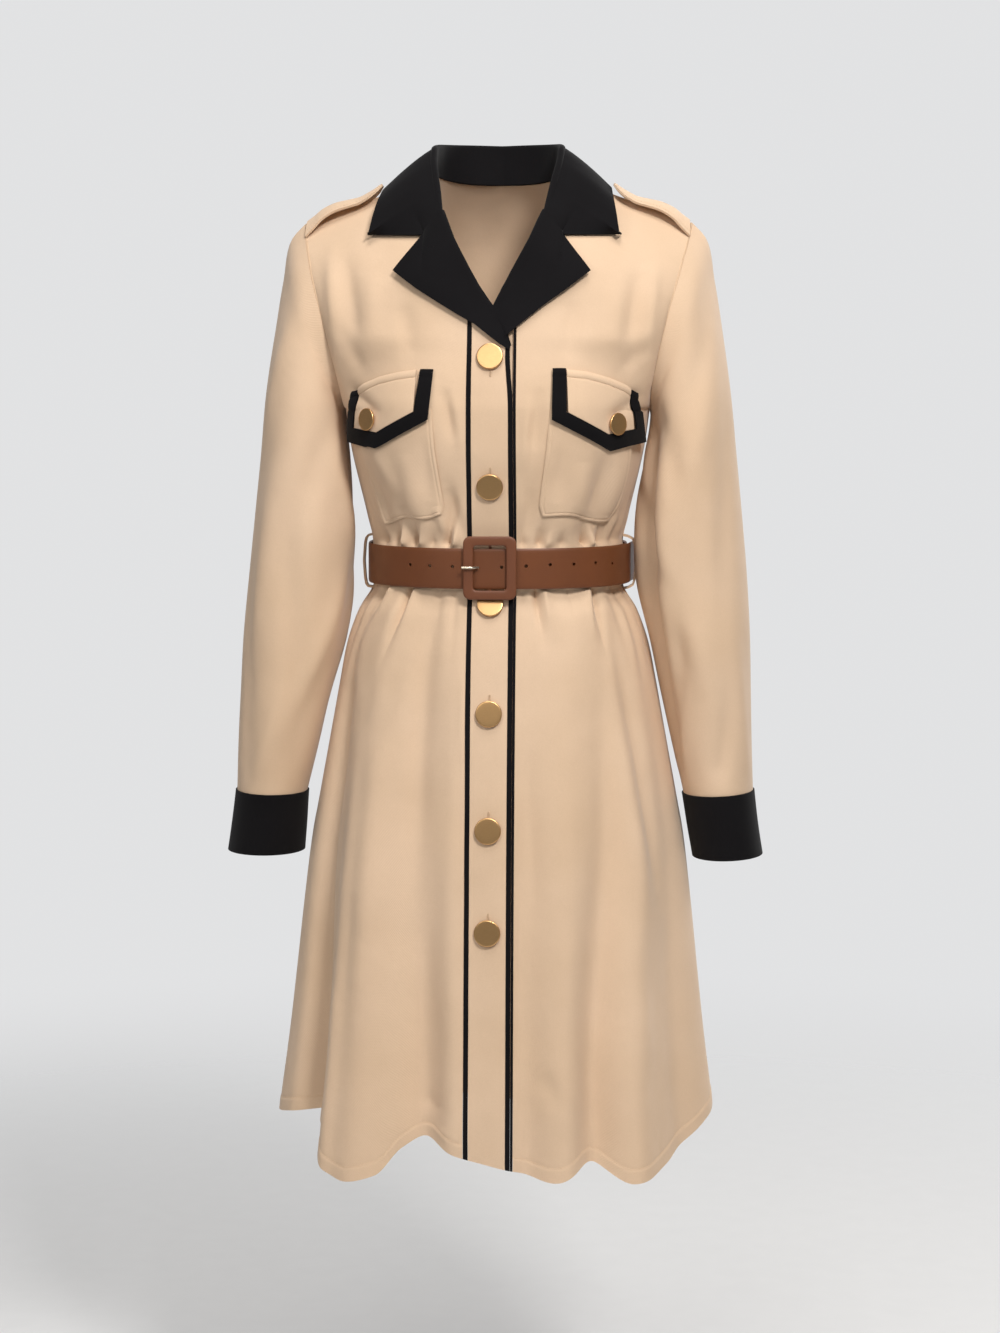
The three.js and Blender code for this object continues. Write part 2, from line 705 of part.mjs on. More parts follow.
// Lapels: the roll at the fold line, then out over the chest; the wearer's right one crosses the centre
const lapelEdges = {
  right: [
    { x: 18.5, z: -172, edgeX: 17.6, edgeZ: -174.5, lift: 2.6 },
    { x: 9.5, z: -153, edgeX: -1, edgeZ: -161, lift: 3.2 },
    { x: 1.5, z: -138, edgeX: -15, edgeZ: -150, lift: 3.8 },
    { x: -7, z: -126, edgeX: -31, edgeZ: -141, lift: 4.2 },
    { x: -14.5, z: -115, edgeX: -49, edgeZ: -130, lift: 4.6 },
    { x: -23, z: -100, edgeX: -68, edgeZ: -118, lift: 5 },
    { x: -31, z: -85, edgeX: -91, edgeZ: -101.5, lift: 5.4 },
    { x: -39, z: -70, edgeX: -79, edgeZ: -86, lift: 4.4 },
    { x: -49, z: -45, edgeX: -64.5, edgeZ: -67.5, lift: 3.4 },
  ],
  left: [
    { x: 5, z: -133.8, edgeX: 16.3, edgeZ: -159.8, lift: 2.9 },
    { x: 12, z: -119, edgeX: 21, edgeZ: -156, lift: 3.4 },
    { x: 16.5, z: -111.5, edgeX: 32, edgeZ: -147, lift: 3.8 },
    { x: 21, z: -103.5, edgeX: 49, edgeZ: -133, lift: 4.4 },
    { x: 26, z: -94.5, edgeX: 68, edgeZ: -119, lift: 5 },
    { x: 31, z: -85, edgeX: 91, edgeZ: -101.5, lift: 5.4 },
    { x: 39, z: -70, edgeX: 78, edgeZ: -85, lift: 4.4 },
    { x: 49, z: -45, edgeX: 64.5, edgeZ: -67.5, lift: 3.4 },
  ],
};
const rollRadius = 3.2;
const rollSteps = [-12, 20, 55, 90];

function addLapel(name, sign, rows) {
  const grid = refine(rows, 2).map(row => {
    const dx = row.edgeX - row.x;
    const dz = row.edgeZ - row.z;
    const long = Math.hypot(dx, dz) || 1;
    const radius = Math.min(rollRadius, long);
    const out = [];
    for (const degrees of rollSteps) {
      const a = degrees * Math.PI / 180;
      const along = -Math.cos(a) * radius * 0.9;
      const rise = -0.75 + Math.sin(a) * rollRadius;
      out.push(layPoint(row.x + dx / long * along, row.z + dz / long * along, rise));
    }
    for (const share of [0.2, 0.45, 0.72, 1]) {
      const lift = -0.75 + rollRadius + (row.lift - 2.4) * smooth(share);
      out.push(layPoint(row.x + dx * share, row.z + dz * share, lift));
    }
    return out;
  });
  addShell(name, grid, wall, 'trim', { flip: sign > 0 });
}

addLapel('lapel_right', -1, lapelEdges.right);
addLapel('lapel_left', 1, lapelEdges.left);

// Collar: stations from centre back to the front end; neck seam, top of the fold, outer edge
const collarStations = [
  { seamX: 0, seamY: 59.5, seamZ: -11.5, topX: 0, topY: 66, topZ: 27, edgeX: 0, edgeY: 106, edgeZ: -28, lift: 8 },
  { seamX: 26, seamY: 53.5, seamZ: -11, topX: 28, topY: 60, topZ: 27.5, edgeX: 49, edgeY: 100, edgeZ: -28, lift: 8 },
  { seamX: 45, seamY: 40, seamZ: -9, topX: 47, topY: 45.5, topZ: 27, edgeX: 86, edgeY: 76, edgeZ: -27, lift: 8 },
  { seamX: 55, seamY: 25, seamZ: -7.2, topX: 58, topY: 26, topZ: 26, edgeX: 104, edgeY: 38, edgeZ: -22, lift: 7 },
  { seamX: 60.3, seamY: 2, seamZ: -5.3, topX: 61.5, topY: 3, topZ: 23, edgeX: 109, edgeY: 3, edgeZ: -17, lift: 5 },
  { seamX: 59.2, seamY: -15, seamZ: -8, topX: 60.5, topY: -16, topZ: 11, edgeX: 112, edgeY: -28, edgeZ: -27, lift: 4 },
  { seamX: 57.2, seamY: -30, seamZ: -14.5, topX: 57.5, topY: -33, topZ: -4, edgeX: 115.5, edgeY: -47, edgeZ: -43, lift: 3 },
  { seamX: 54.5, seamY: -44, seamZ: -26.5, topX: 54, topY: -49.5, topZ: -21, edgeX: 119, edgeY: -63, edgeZ: -64, lift: 2.5 },
];
// Seam where the collar meets the lapel, from the roll line to the notch, and the collar point
const gorge = { x: 49, z: -45, edgeX: 64.5, edgeZ: -67.5, lift: 3.4, pointX: 120, pointZ: -66.5 };

function collarRow(row, sign) {
  const seam = new THREE.Vector3(row.seamX, row.seamY, row.seamZ);
  const edge = new THREE.Vector3(row.edgeX, row.edgeY, row.edgeZ);
  const radius = 3.4;
  const centre = new THREE.Vector3(row.topX, row.topY, row.topZ - radius);
  const away = edge.clone().sub(centre).setZ(0).normalize();
  const inner = centre.clone().addScaledVector(away, -radius);
  const points = [seam, seam.clone().lerp(inner, 0.55), inner];
  for (const degrees of [55, 100, 145]) {
    const a = degrees * Math.PI / 180;
    const p = centre.clone().addScaledVector(away, -Math.cos(a) * radius);
    p.z += Math.sin(a) * radius;
    points.push(p);
  }
  const from = centre.clone().addScaledVector(away, radius);
  const control = from.clone().lerp(edge, 0.42);
  control.z += row.lift;
  for (const t of [0.18, 0.42, 0.7, 1]) {
    points.push(from.clone().lerp(control, t).lerp(control.clone().lerp(edge, t), t));
  }
  return points.map(p => new THREE.Vector3(sign * p.x, p.y, p.z));
}

// The end of the collar runs along the gorge to the notch, then level to its point
function collarEnd(sign) {
  const shiftX = 0.4;
  const shiftZ = 0.3;
  const row = { ...gorge, x: gorge.x + shiftX, z: gorge.z + shiftZ };
  row.edgeX += shiftX;
  row.edgeZ += shiftZ;
  const dx = row.edgeX - row.x;
  const dz = row.edgeZ - row.z;
  const long = Math.hypot(dx, dz);
  const points = [-34, -12, 20, 50, 75, 90].map(degrees => {
    const a = degrees * Math.PI / 180;
    const along = -Math.cos(a) * rollRadius * 0.9 / long;
    return layPoint(sign * (row.x + dx * along), row.z + dz * along, -0.75 + Math.sin(a) * rollRadius);
  });
  const top = -0.75 + rollRadius;
  const laid = (x, z, rise) => layPoint(sign * x, z, top + rise);
  points.push(laid(mix(row.x, row.edgeX, 0.5), mix(row.z, row.edgeZ, 0.5), 0.5));
  points.push(laid(row.edgeX, row.edgeZ, row.lift - 2.4));
  points.push(laid(mix(row.edgeX, row.pointX, 0.5), mix(row.edgeZ, row.pointZ, 0.5), 1.6));
  points.push(laid(row.pointX, row.pointZ, 2.6));
  return points;
}

function addCollar() {
  const right = [...collarStations.map(row => collarRow(row, -1)), collarEnd(-1)].reverse();
  const left = [...collarStations.slice(1).map(row => collarRow(row, 1)), collarEnd(1)];
  addShell('collar', [...right, ...left], wall, 'trim', { flip: true });
}

addCollar();

// Patch pockets and their pointed flaps
const pocketEdges = {
  right: [
    { inX: -53, inZ: -228, outX: -128, outZ: -243 },
    { inX: -50.5, inZ: -268, outX: -124, outZ: -275 },
    { inX: -47, inZ: -296, outX: -117, outZ: -300 },
    { inX: -44.5, inZ: -318, outX: -110, outZ: -322 },
    { inX: -46, inZ: -327, outX: -105, outZ: -337 },
  ],
  left: [
    { inX: 55.5, inZ: -228, outX: 131, outZ: -243 },
    { inX: 52, inZ: -268, outX: 128, outZ: -275 },
    { inX: 48.5, inZ: -296, outX: 123, outZ: -300 },
    { inX: 46, inZ: -318, outX: 118.5, outZ: -320 },
    { inX: 48.5, inZ: -327, outX: 112, outZ: -335 },
  ],
};
const flapEdges = {
  right: [
    { topX: -51.6, topZ: -193, lowX: -54.8, lowZ: -238 },
    { topX: -66, topZ: -193, lowX: -66, lowZ: -245 },
    { topX: -84, topZ: -195.5, lowX: -85, lowZ: -256 },
    { topX: -102, topZ: -199.5, lowX: -103, lowZ: -265.5 },
    { topX: -119, topZ: -206, lowX: -120, lowZ: -263 },
    { topX: -133, topZ: -213.5, lowX: -134.5, lowZ: -259.5 },
  ],
  left: [
    { topX: 57.4, topZ: -192, lowX: 56.6, lowZ: -238 },
    { topX: 70, topZ: -193, lowX: 69, lowZ: -245.5 },
    { topX: 88, topZ: -195, lowX: 87, lowZ: -256.5 },
    { topX: 105, topZ: -199.5, lowX: 106, lowZ: -267 },
    { topX: 122, topZ: -206, lowX: 123, lowZ: -264 },
    { topX: 136, topZ: -213.5, lowX: 138, lowZ: -260 },
  ],
};
const bindWide = 11.5;
const pocketOut = 1.75;
const flapTop = 2;
const flapOut = 4.6;

function addPocket(name, sign, rows) {
  const list = refine(rows, 1);
  addShell(name, lay(between(
    list.map(row => ({ x: row.inX, z: row.inZ, out: pocketOut })),
    list.map(row => ({ x: row.outX, z: row.outZ, out: pocketOut })),
    7,
  )), 1.2, 'cloth', { flip: sign < 0 });
}

function lineZ(points, x) {
  let k = 0;
  while (k < points.length - 2 && Math.abs(x) > Math.abs(points[k + 1].x)) {
    k += 1;
  }
  const a = points[k];
  const b = points[k + 1];
  return mix(a.z, b.z, clamp((x - a.x) / (b.x - a.x), 0, 1));
}

// Flap: the binding frames three sides, the cloth fills it
function addFlap(name, sign, rows) {
  const a = rows[0];
  const b = rows[3];
  const c = rows[5];
  const path = [
    { x: a.topX, z: a.topZ, inX: a.topX + sign * bindWide, inZ: a.topZ, out: flapTop },
    { x: a.lowX, z: a.lowZ, inX: a.lowX + sign * bindWide, inZ: a.lowZ + 7, out: flapOut },
    { x: b.lowX, z: b.lowZ, inX: b.lowX - sign * 2, inZ: b.lowZ + 15, out: flapOut },
    { x: c.lowX, z: c.lowZ, inX: c.lowX - sign * 8, inZ: c.lowZ + 12.5, out: flapOut },
    { x: c.topX, z: c.topZ, inX: c.topX - sign * 7.5, inZ: c.topZ + 3, out: flapTop },
  ];
  const strip = refine(path, 3);
  addShell(`flap_binding_${name.slice(5)}`, lay(between(
    strip.map(p => ({ x: p.x, z: p.z, out: p.out + 0.4 })),
    strip.map(p => ({ x: p.inX, z: p.inZ, out: p.out + 0.4 })),
    2,
  )), 1.8, 'trim', { flip: sign < 0 });
  const top = rows.map(row => ({ x: row.topX, z: row.topZ }));
  const low = path.slice(1, 4).map(p => ({ x: p.inX, z: p.inZ + 0.5 }));
  const from = sign * (Math.max(sign * path[0].inX, sign * path[1].inX) + 0.6);
  const to = sign * (Math.min(sign * path[3].inX, sign * path[4].inX) - 0.7);
  const columns = [0, 0.15, 0.32, 0.5, 0.66, 0.83, 1].map(share => mix(from, to, share));
  addShell(name, lay(between(
    columns.map(x => ({ x, z: lineZ(top, x), out: flapTop })),
    columns.map(x => ({ x, z: lineZ(low, x), out: flapOut })),
    4,
  )), 1.5, 'cloth', { flip: sign > 0 });
}

addPocket('pocket_right', -1, pocketEdges.right);
addPocket('pocket_left', 1, pocketEdges.left);
addFlap('flap_right', -1, flapEdges.right);
addFlap('flap_left', 1, flapEdges.left);

// Buttons: flat discs with a rounded rim, turned to face out from the cloth
function addButton(name, x, z, out, radius) {
  const profile = [
    new THREE.Vector2(0, 0),
    new THREE.Vector2(radius * 0.82, 0),
    new THREE.Vector2(radius, buttonHigh * 0.45),
    new THREE.Vector2(radius * 0.93, buttonHigh * 0.9),
    new THREE.Vector2(0, buttonHigh),
  ];
  const count = 16;
  const base = layPoint(x, z, out);
  const normal = layPoint(x, z, out + 1).sub(base).normalize();
  const turn = new THREE.Quaternion().setFromUnitVectors(new THREE.Vector3(0, 1, 0), normal);
  const points = [base.clone()];
  for (const p of profile.slice(1, -1)) {
    for (let i = 0; i < count; i += 1) {
      const a = i / count * 2 * Math.PI;
      const point = new THREE.Vector3(Math.cos(a) * p.x, p.y, Math.sin(a) * p.x);
      points.push(point.applyQuaternion(turn).add(base));
    }
  }
  points.push(base.clone().addScaledVector(normal, buttonHigh));
  const end = points.length - 1;
  const faces = [];
  for (let i = 0; i < count; i += 1) {
    const next = (i + 1) % count;
    faces.push([0, 1 + next, 1 + i]);
    for (let k = 0; k < 2; k += 1) {
      const a = 1 + k * count + i;
      const b = 1 + k * count + next;
      faces.push([a, b, b + count], [a, b + count, a + count]);
    }
    faces.push([end, 1 + 2 * count + i, 1 + 2 * count + next]);
  }
  addSolid(name, points, faces, 'metal');
}

const buttonRows = [
  { z: -180, out: 0.8 }, { z: -301, out: 0.8 }, { z: -412, out: 1.6 },
  { z: -512.5, out: 0.8 }, { z: -620.5, out: 0.8 }, { z: -715, out: 0.8 },
];
buttonRows.forEach((row, k) => addButton(`button_${k + 1}`, 0, row.z, row.out, buttonRadius));
addButton('flap_button_right', -109, -239, flapOut + 2.05, flapButtonRadius);
addButton('flap_button_left', 111, -243, flapOut + 2.2, flapButtonRadius);

// Belt: one strap, from behind the buckle once round the waist, through the buckle to a free tip
function beltPoint(angle, out, z) {
  const radians = angle * Math.PI / 180;
  const half = 121 + out;
  const square = 2.3;
  const wrapped = ((angle % 360) + 360) % 360;
  const front = wrapped < 90 || wrapped > 270;
  const depth = (front ? 101 : 83.5) + out;
  const sin = Math.sin(radians);
  const cos = Math.cos(radians);
  return new THREE.Vector3(
    Math.sign(sin) * half * Math.abs(sin) ** (2 / square),
    -Math.sign(cos) * depth * Math.abs(cos) ** (2 / square),
    z,
  );
}

const beltPath = [
  { at: 3, out: 4.4 }, { at: 30, out: 4.4 }, { at: 90, out: 4.4 }, { at: 180, out: 4.4 },
  { at: 270, out: 4.4 }, { at: 315, out: 4.4 }, { at: 345, out: 7.2 }, { at: 360, out: 7.2 },
  { at: 420, out: 7.2 }, { at: 438, out: 7.4 }, { at: 450, out: 8.3 }, { at: 456, out: 10.4 },
  { at: 464, out: 16.2 }, { at: 470, out: 23 },
];

function addBelt() {
  const grid = [];
  for (let k = 0; k <= 66; k += 1) {
    const angle = mix(3, 470, k / 66);
    const out = columnAt(beltPath, 'at', 'out', angle);
    const taper = k === 66 ? 5 : 0;
    const row = [];
    for (const share of [0, 1]) {
      const z = beltZ + (0.5 - share) * (beltHigh - taper);
      row.push(beltPoint(angle, out, z));
    }
    grid.push(row);
  }
  addShell('belt_strap', grid, beltThick, 'leather', { flip: false });
}

addBelt();

const wasm = await Module();
wasm.setup();

function toManifold(geometry) {
  const flat = geometry.index ? geometry : geometry.clone();
  const position = flat.getAttribute('position');
  return new wasm.Manifold(new wasm.Mesh({
    numProp: 3,
    vertProperties: new Float32Array(position.array),
    triVerts: new Uint32Array(flat.index.array),
  }));
}

function boxSolid(wide, deep, high, x, y, z) {
  return wasm.Manifold.cube([wide, deep, high], true).translate([x, y, z]);
}

// Rounded rectangle ring, its plane upright
function roundedRing(wide, high, corner, holeWide, holeHigh, holeCorner, deep) {
  const trace = (w, h, r) => {
    const list = [];
    for (const [sx, sy, from] of [[1, 1, 0], [-1, 1, 90], [-1, -1, 180], [1, -1, 270]]) {
      for (const step of [0, 30, 60, 90]) {
        const a = (from + step) * Math.PI / 180;
        list.push([sx * (w / 2 - r) + Math.cos(a) * r, sy * (h / 2 - r) + Math.sin(a) * r]);
      }
    }
    return list;
  };
  const outer = wasm.Manifold.extrude([trace(wide, high, corner)], deep);
  const hole = wasm.Manifold.extrude([trace(holeWide, holeHigh, holeCorner)], deep + 4);
  return outer.subtract(hole.translate([0, 0, -2])).rotate([90, 0, 0]);
}

const buckleFace = -112.6; // front face of the buckle
const buckleZ = -377;
const buckleRing = roundedRing(50, 59.5, 7, 31, 42, 3.5, 3.6).translate([0, buckleFace + 3.6, buckleZ]);
const bar = boxSolid(2.6, 1.4, 43, 0, -105.1, buckleZ);
const post = boxSolid(2.6, 6, 2.4, 0, -107.4, buckleZ);
const posts = post.translate([0, 0, 21.2]).add(post.translate([0, 0, -21.2]));
const buckle = buckleRing.add(bar).add(posts);
const buckleMesh = buckle.getMesh();
const bucklePoints = [];
for (let i = 0; i < buckleMesh.vertProperties.length; i += buckleMesh.numProp) {
  bucklePoints.push(new THREE.Vector3(...buckleMesh.vertProperties.slice(i, i + 3)));
}
const buckleFaces = [];
for (let i = 0; i < buckleMesh.triVerts.length; i += 3) {
  buckleFaces.push([...buckleMesh.triVerts.slice(i, i + 3)]);
}
addSolid('buckle_frame', bucklePoints, buckleFaces, 'leather');

// Prong: out of its hole in the strap, over the side of the frame
function addRod(name, path, radius, material) {
  const count = 8;
  const points = [];
  path.forEach((p, k) => {
    const before = path[Math.max(k - 1, 0)];
    const after = path[Math.min(k + 1, path.length - 1)];
    const along = after.clone().sub(before).normalize();
    const side = new THREE.Vector3(0, 0, 1).cross(along).normalize();
    const up = along.clone().cross(side);
    for (let i = 0; i < count; i += 1) {
      const a = i / count * 2 * Math.PI;
      points.push(p.clone().addScaledVector(side, Math.cos(a) * radius).addScaledVector(up, Math.sin(a) * radius));
    }
  });
  const faces = [];
  for (let k = 0; k < path.length - 1; k += 1) {
    for (let i = 0; i < count; i += 1) {
      const a = k * count + i;
      const b = k * count + (i + 1) % count;
      faces.push([a, b, b + count], [a, b + count, a + count]);
    }
  }
  const end = points.length - count;
  for (let i = 1; i < count - 1; i += 1) {
    faces.push([0, i + 1, i], [end, end + i, end + i + 1]);
  }
  addSolid(name, points, faces, material);
}

addRod('buckle_prong', [
  new THREE.Vector3(-11, -110.2, beltZ + 1.5),
  new THREE.Vector3(-13.8, -113.2, beltZ + 1.5),
  new THREE.Vector3(-16.6, -115, beltZ + 1.5),
  new THREE.Vector3(-26, -115, beltZ + 1.5),
], 1.3, 'metal');

// Belt loops: narrow strips from the side seams, over the belt
function addLoop(name, sign, reach) {
  const line = [
    { z: beltZ + 27, out: 1 }, { z: beltZ + 24, out: 5 }, { z: beltZ + 20, out: reach },
    { z: beltZ, out: reach + 0.6 }, { z: beltZ - 20, out: reach }, { z: beltZ - 24, out: 6 },
    { z: beltZ - 27, out: 2.2 },
  ];
  const grid = line.map(p => [88, 92].map(at => {
    const half = columnAt(sections, 'z', 'half', p.z);
    const angle = at * Math.PI / 180;
    return new THREE.Vector3(sign * (half + p.out + 0.6), sign * -Math.cos(angle) * 60 * sign, p.z);
  }));
  addShell(name, grid, 1, 'cloth', { flip: sign > 0 });
}

addLoop('belt_loop_right', -1, 6.4);
addLoop('belt_loop_left', 1, 10.4);

// Shoulder tabs: held in the sleeve head seam, free end towards the collar
const tabRows = [
  { x: 185, z: -48.7, half: 20, drop: 15.5 }, { x: 178, z: -43.5, half: 20, drop: 13.5 },
  { x: 170, z: -37, half: 19.6, drop: 11.5 }, { x: 157, z: -31, half: 19, drop: 9.5 },
  { x: 146, z: -28.5, half: 18.5, drop: 8.5 }, { x: 135, z: -26, half: 18, drop: 8 },
  { x: 125, z: -21, half: 17.4, drop: 7.5 }, { x: 117, z: -16, half: 14, drop: 7 },
  { x: 112.5, z: -13, half: 6, drop: 7 },
];

function addTab(name, sign) {
  const grid = tabRows.map(row => [-1, -0.6, 0, 0.6, 1].map(share => {
    const y = share * row.half;
    return new THREE.Vector3(sign * row.x, y, row.z - row.drop * Math.abs(y / 20) ** 1.5);
  }));
  addShell(name, grid, 2.4, 'cloth', { flip: sign < 0 });
}

addTab('epaulette_right', -1);
addTab('epaulette_left', 1);

export default group;
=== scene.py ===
import bpy
import math
import numpy as np
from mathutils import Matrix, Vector


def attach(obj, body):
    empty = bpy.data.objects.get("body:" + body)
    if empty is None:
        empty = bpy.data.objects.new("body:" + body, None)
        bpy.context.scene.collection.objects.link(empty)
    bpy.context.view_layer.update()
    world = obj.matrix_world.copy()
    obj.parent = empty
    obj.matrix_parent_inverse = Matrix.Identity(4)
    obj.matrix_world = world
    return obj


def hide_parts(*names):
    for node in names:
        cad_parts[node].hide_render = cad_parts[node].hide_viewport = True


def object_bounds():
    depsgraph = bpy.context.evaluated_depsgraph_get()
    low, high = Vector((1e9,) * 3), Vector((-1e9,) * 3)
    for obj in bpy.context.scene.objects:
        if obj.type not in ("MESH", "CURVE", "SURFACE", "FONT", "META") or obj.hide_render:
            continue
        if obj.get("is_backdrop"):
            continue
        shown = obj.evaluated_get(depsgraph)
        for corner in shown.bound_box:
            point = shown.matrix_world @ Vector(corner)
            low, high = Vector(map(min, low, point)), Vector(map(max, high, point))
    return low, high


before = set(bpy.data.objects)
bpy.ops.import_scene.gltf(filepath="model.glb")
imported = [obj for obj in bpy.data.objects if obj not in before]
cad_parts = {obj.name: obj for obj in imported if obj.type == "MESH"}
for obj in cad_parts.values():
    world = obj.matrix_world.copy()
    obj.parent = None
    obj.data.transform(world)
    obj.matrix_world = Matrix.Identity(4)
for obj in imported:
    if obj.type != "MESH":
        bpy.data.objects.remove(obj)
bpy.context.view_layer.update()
print("frame loaded")

mm = 0.001  # the tables below are in millimetres, as a pattern cutter writes them

# ---- the dress form that every cloth piece is cut on: sections by height
dressBody = {
    "z": [30, -10, -52, -94, -142, -184, -213, -230, -265, -300, -335, -359, -397,
          -424, -457, -490, -529, -562, -600, -640, -713, -775, -824, -858, -906, -960],
    "half": [190, 188, 186, 177, 164, 154, 148.5, 146.5, 141.5, 134, 126, 121, 121,
             135, 146.5, 153, 160, 166, 173, 180, 188, 194, 199, 203, 209, 214],
    "front": [64, 72, 84, 92, 101, 109, 114, 116, 115, 110, 104, 101, 101,
              109, 116, 121, 126, 130, 134, 138, 144, 148, 151, 153, 156, 159],
    "back": [82, 90, 96, 101, 103, 101, 98, 96, 92, 88, 85, 83, 84,
             95, 105, 112, 118, 122, 126, 130, 136, 142, 147, 150, 154, 158],
    "square": [2.3, 2.3, 2.3, 2.3, 2.4, 2.4, 2.4, 2.4, 2.4, 2.35, 2.3, 2.3, 2.3,
               2.25, 2.2, 2.15, 2.1, 2.1, 2.1, 2.1, 2.1, 2.1, 2.1, 2.1, 2.1, 2.1],
}
shoulder = {"neckX": 62, "neckZ": -6, "tipX": 186, "tipZ": -52, "slope": 0.37, "neckRise": 37,
            "rollDepth": 110, "rollPower": 2.3, "underarmZ": -230, "armholeHalf": 60}
hemLine = {
    "at": [-180, -150, -120, -100, -82, -70, -60, -51, -43, -36, -28, -22, -16, -8, 0,
           8, 16, 27, 37, 50, 62, 75, 88, 102, 122, 150, 180],
    "z": [-946, -940, -922, -915, -915, -909, -904, -918, -945, -952, -945, -920, -909, -921, -931,
          -939, -946, -932, -951, -942, -928, -909, -897, -900, -916, -938, -946],
}
# angle at the waist and at the hem, start height, depth at the hem, width in degrees
skirtFolds = [
    (-11, -8.5, -400, 5, 3.5), (-24, -16.5, -405, -17, 6), (-41, -35, -400, 15, 8), (-54, -46, -560, 9, 6),
    (-66, -61, -425, -28, 5.5), (-84, -82, -620, 5, 8), (12, 9.5, -410, -7, 4), (25, 20, -450, 10, 6),
    (44, 28, -402, -16, 6), (57, 39, -405, 14, 8), (74, 60, -420, -8, 7), (88, 78, -620, 5, 8),
    (-104, -106, -450, -14, 7), (-122, -124, -430, 14, 8), (-141, -143, -440, -15, 7),
    (-160, -161, -420, 14, 8), (178, 179, -440, -13, 8), (161, 160, -425, 14, 8),
    (140, 141, -450, -15, 7), (121, 121, -430, 13, 8), (104, 102, -460, -12, 7),
]
# fine folds that run down out of the belt and fade: angle at the belt, angle where it ends, length, depth, width
waistFolds = [
    (-61, -70, 110, -3.5, 3), (-41, -43, 80, 2.4, 4), (-21, -19, 210, -3.2, 3.4), (14, 12, 90, -1.6, 2.4),
    (33, 31, 130, 2.4, 4), (62, 60, 150, -4.2, 3.4), (72, 68, 150, -4.4, 3), (-72, -78, 130, -4.4, 3),
    (-98, -100, 150, -6, 3.2), (-113, -116, 100, -4.2, 2.6), (-122, -124, 60, 3, 2.6), (-131, -134, 140, -6.2, 3),
    (-150, -150, 90, -4, 2.6), (-160, -161, 70, 2.6, 2.6), (-170, -171, 130, -6, 3), (177, 177, 70, 2.6, 2.6),
    (171, 170, 100, -5, 2.6), (151, 150, 150, -6.2, 3), (140, 140, 60, 3, 2.6), (131, 132, 90, -4.4, 2.6),
    (113, 111, 140, -6, 3), (97, 96, 100, -4, 2.6), (84, 80, 120, -4, 2.8),
]
# narrow tucks pinched by the belt, above and below it: x, z, x, z, depth, width
beltTucks = [
    (-99, -394, -134, -452, -9.5, 2.8), (-93, -394, -126, -446, 5.5, 3.6), (-76, -394, -112, -492, -10.5, 2.9),
    (-70, -394, -102, -470, 5.2, 3.8), (-48, -395, -54, -455, -3.2, 5), (-34, -396, -38, -512, -3.0, 5),
    (-112, -393, -141, -430, -3.6, 4), (29, -398, 34, -470, -2.2, 4.6), (42, -396, 54, -465, -8.0, 3),
    (49, -396, 63, -458, 5.4, 4.6), (70, -395, 84, -440, -2.6, 4.4), (95, -394, 114, -480, -9.5, 3),
    (88, -394, 104, -470, 5.8, 4.8), (112, -393, 131, -436, -4.4, 3.8),
    (-90, -360, -94, -322, -12, 4), (-84, -360, -86, -328, 7.5, 3.8), (-74, -360, -73, -318, -11, 4),
    (-67, -360, -66, -330, 5, 4), (-104, -360, -111, -330, -8, 3.8), (-42, -360, -33, -290, -10, 4.6),
    (-35, -360, -25, -300, 6.5, 4.4), (-56, -360, -55, -336, -5, 3.6), (30, -360, 28, -314, -5, 4.4),
    (46, -360, 50, -328, -7, 3.8), (52, -360, 57, -334, 4, 4), (66, -360, 67, -336, -5, 3.6),
    (88, -360, 87, -322, -12, 4), (94, -360, 95, -330, 7.5, 3.6), (102, -360, 108, -318, -10.5, 4),
    (113, -360, 119, -334, -6, 3.8),
]
# short gathers above the belt: angle, length up, depth, width
bodiceGathers = [
    (-64, 60, -3.8, 3), (-50, 90, -2.6, 3), (-37.5, 75, -2.4, 3), (-21, 50, -2, 2.6), (20, 45, -1.8, 2.4),
    (38, 56, -2.4, 3), (49, 72, -2.6, 3), (61, 80, -4.4, 3), (71, 60, -3, 3), (-78, 70, -3.4, 3),
    (84, 70, -3.4, 3), (-97, 50, 2.4, 3), (-108, 60, -4.6, 3), (-118, 40, 2.6, 2.6), (-127, 90, -5.4, 3),
    (-147, 60, -4.2, 2.6), (-157, 45, 2.4, 2.6), (-166, 85, -5, 3), (175, 60, -4.2, 2.6), (165, 45, 2.4, 2.6),
    (156, 90, -5.4, 3), (137, 60, -4, 2.6), (127, 40, 2.4, 2.6), (118, 85, -5, 3),
]
# soft creases across the wearer's right and left front, from one place to another: x, z, x, z, depth, width
bodiceCreases = {
    "right": [
        (-156, -78, -148, -176, 2.6, 9), (-140, -84, -128, -176, -2.8, 11), (-112, -96, -112, -170, 1.6, 12),
        (-84, -128, -74, -182, -2.0, 12), (-141, -206, -96, -236, -2.4, 8), (-44, -208, -31, -262, -2.6, 8),
        (-34, -214, -27, -268, 1.8, 6), (-40, -300, -26, -352, -2.8, 7), (-50, -318, -40, -357, 2.6, 6),
        (-128, -268, -96, -330, -2.6, 9), (-110, -262, -88, -310, 2.2, 9), (-78, -268, -70, -322, 1.8, 10),
        (-148, -150, -120, -196, -1.8, 9), (-60, -250, -56, -316, -1.4, 8),
    ],
    "left": [
        (152, -92, 146, -180, 2.4, 9), (138, -96, 130, -184, -2.6, 11), (118, -112, 114, -176, 1.4, 12),
        (78, -124, 72, -184, -2.2, 12), (146, -212, 104, -238, -2.4, 8), (47, -206, 40, -270, -2.4, 8),
        (36, -222, 31, -290, 1.6, 6), (40, -300, 34, -350, -2.4, 7), (106, -268, 92, -326, -3.0, 10),
        (122, -270, 108, -330, 2.4, 10), (84, -276, 82, -330, 2.2, 10), (152, -166, 122, -192, -2.0, 9),
        (64, -262, 60, -318, -1.4, 8),
    ],
}
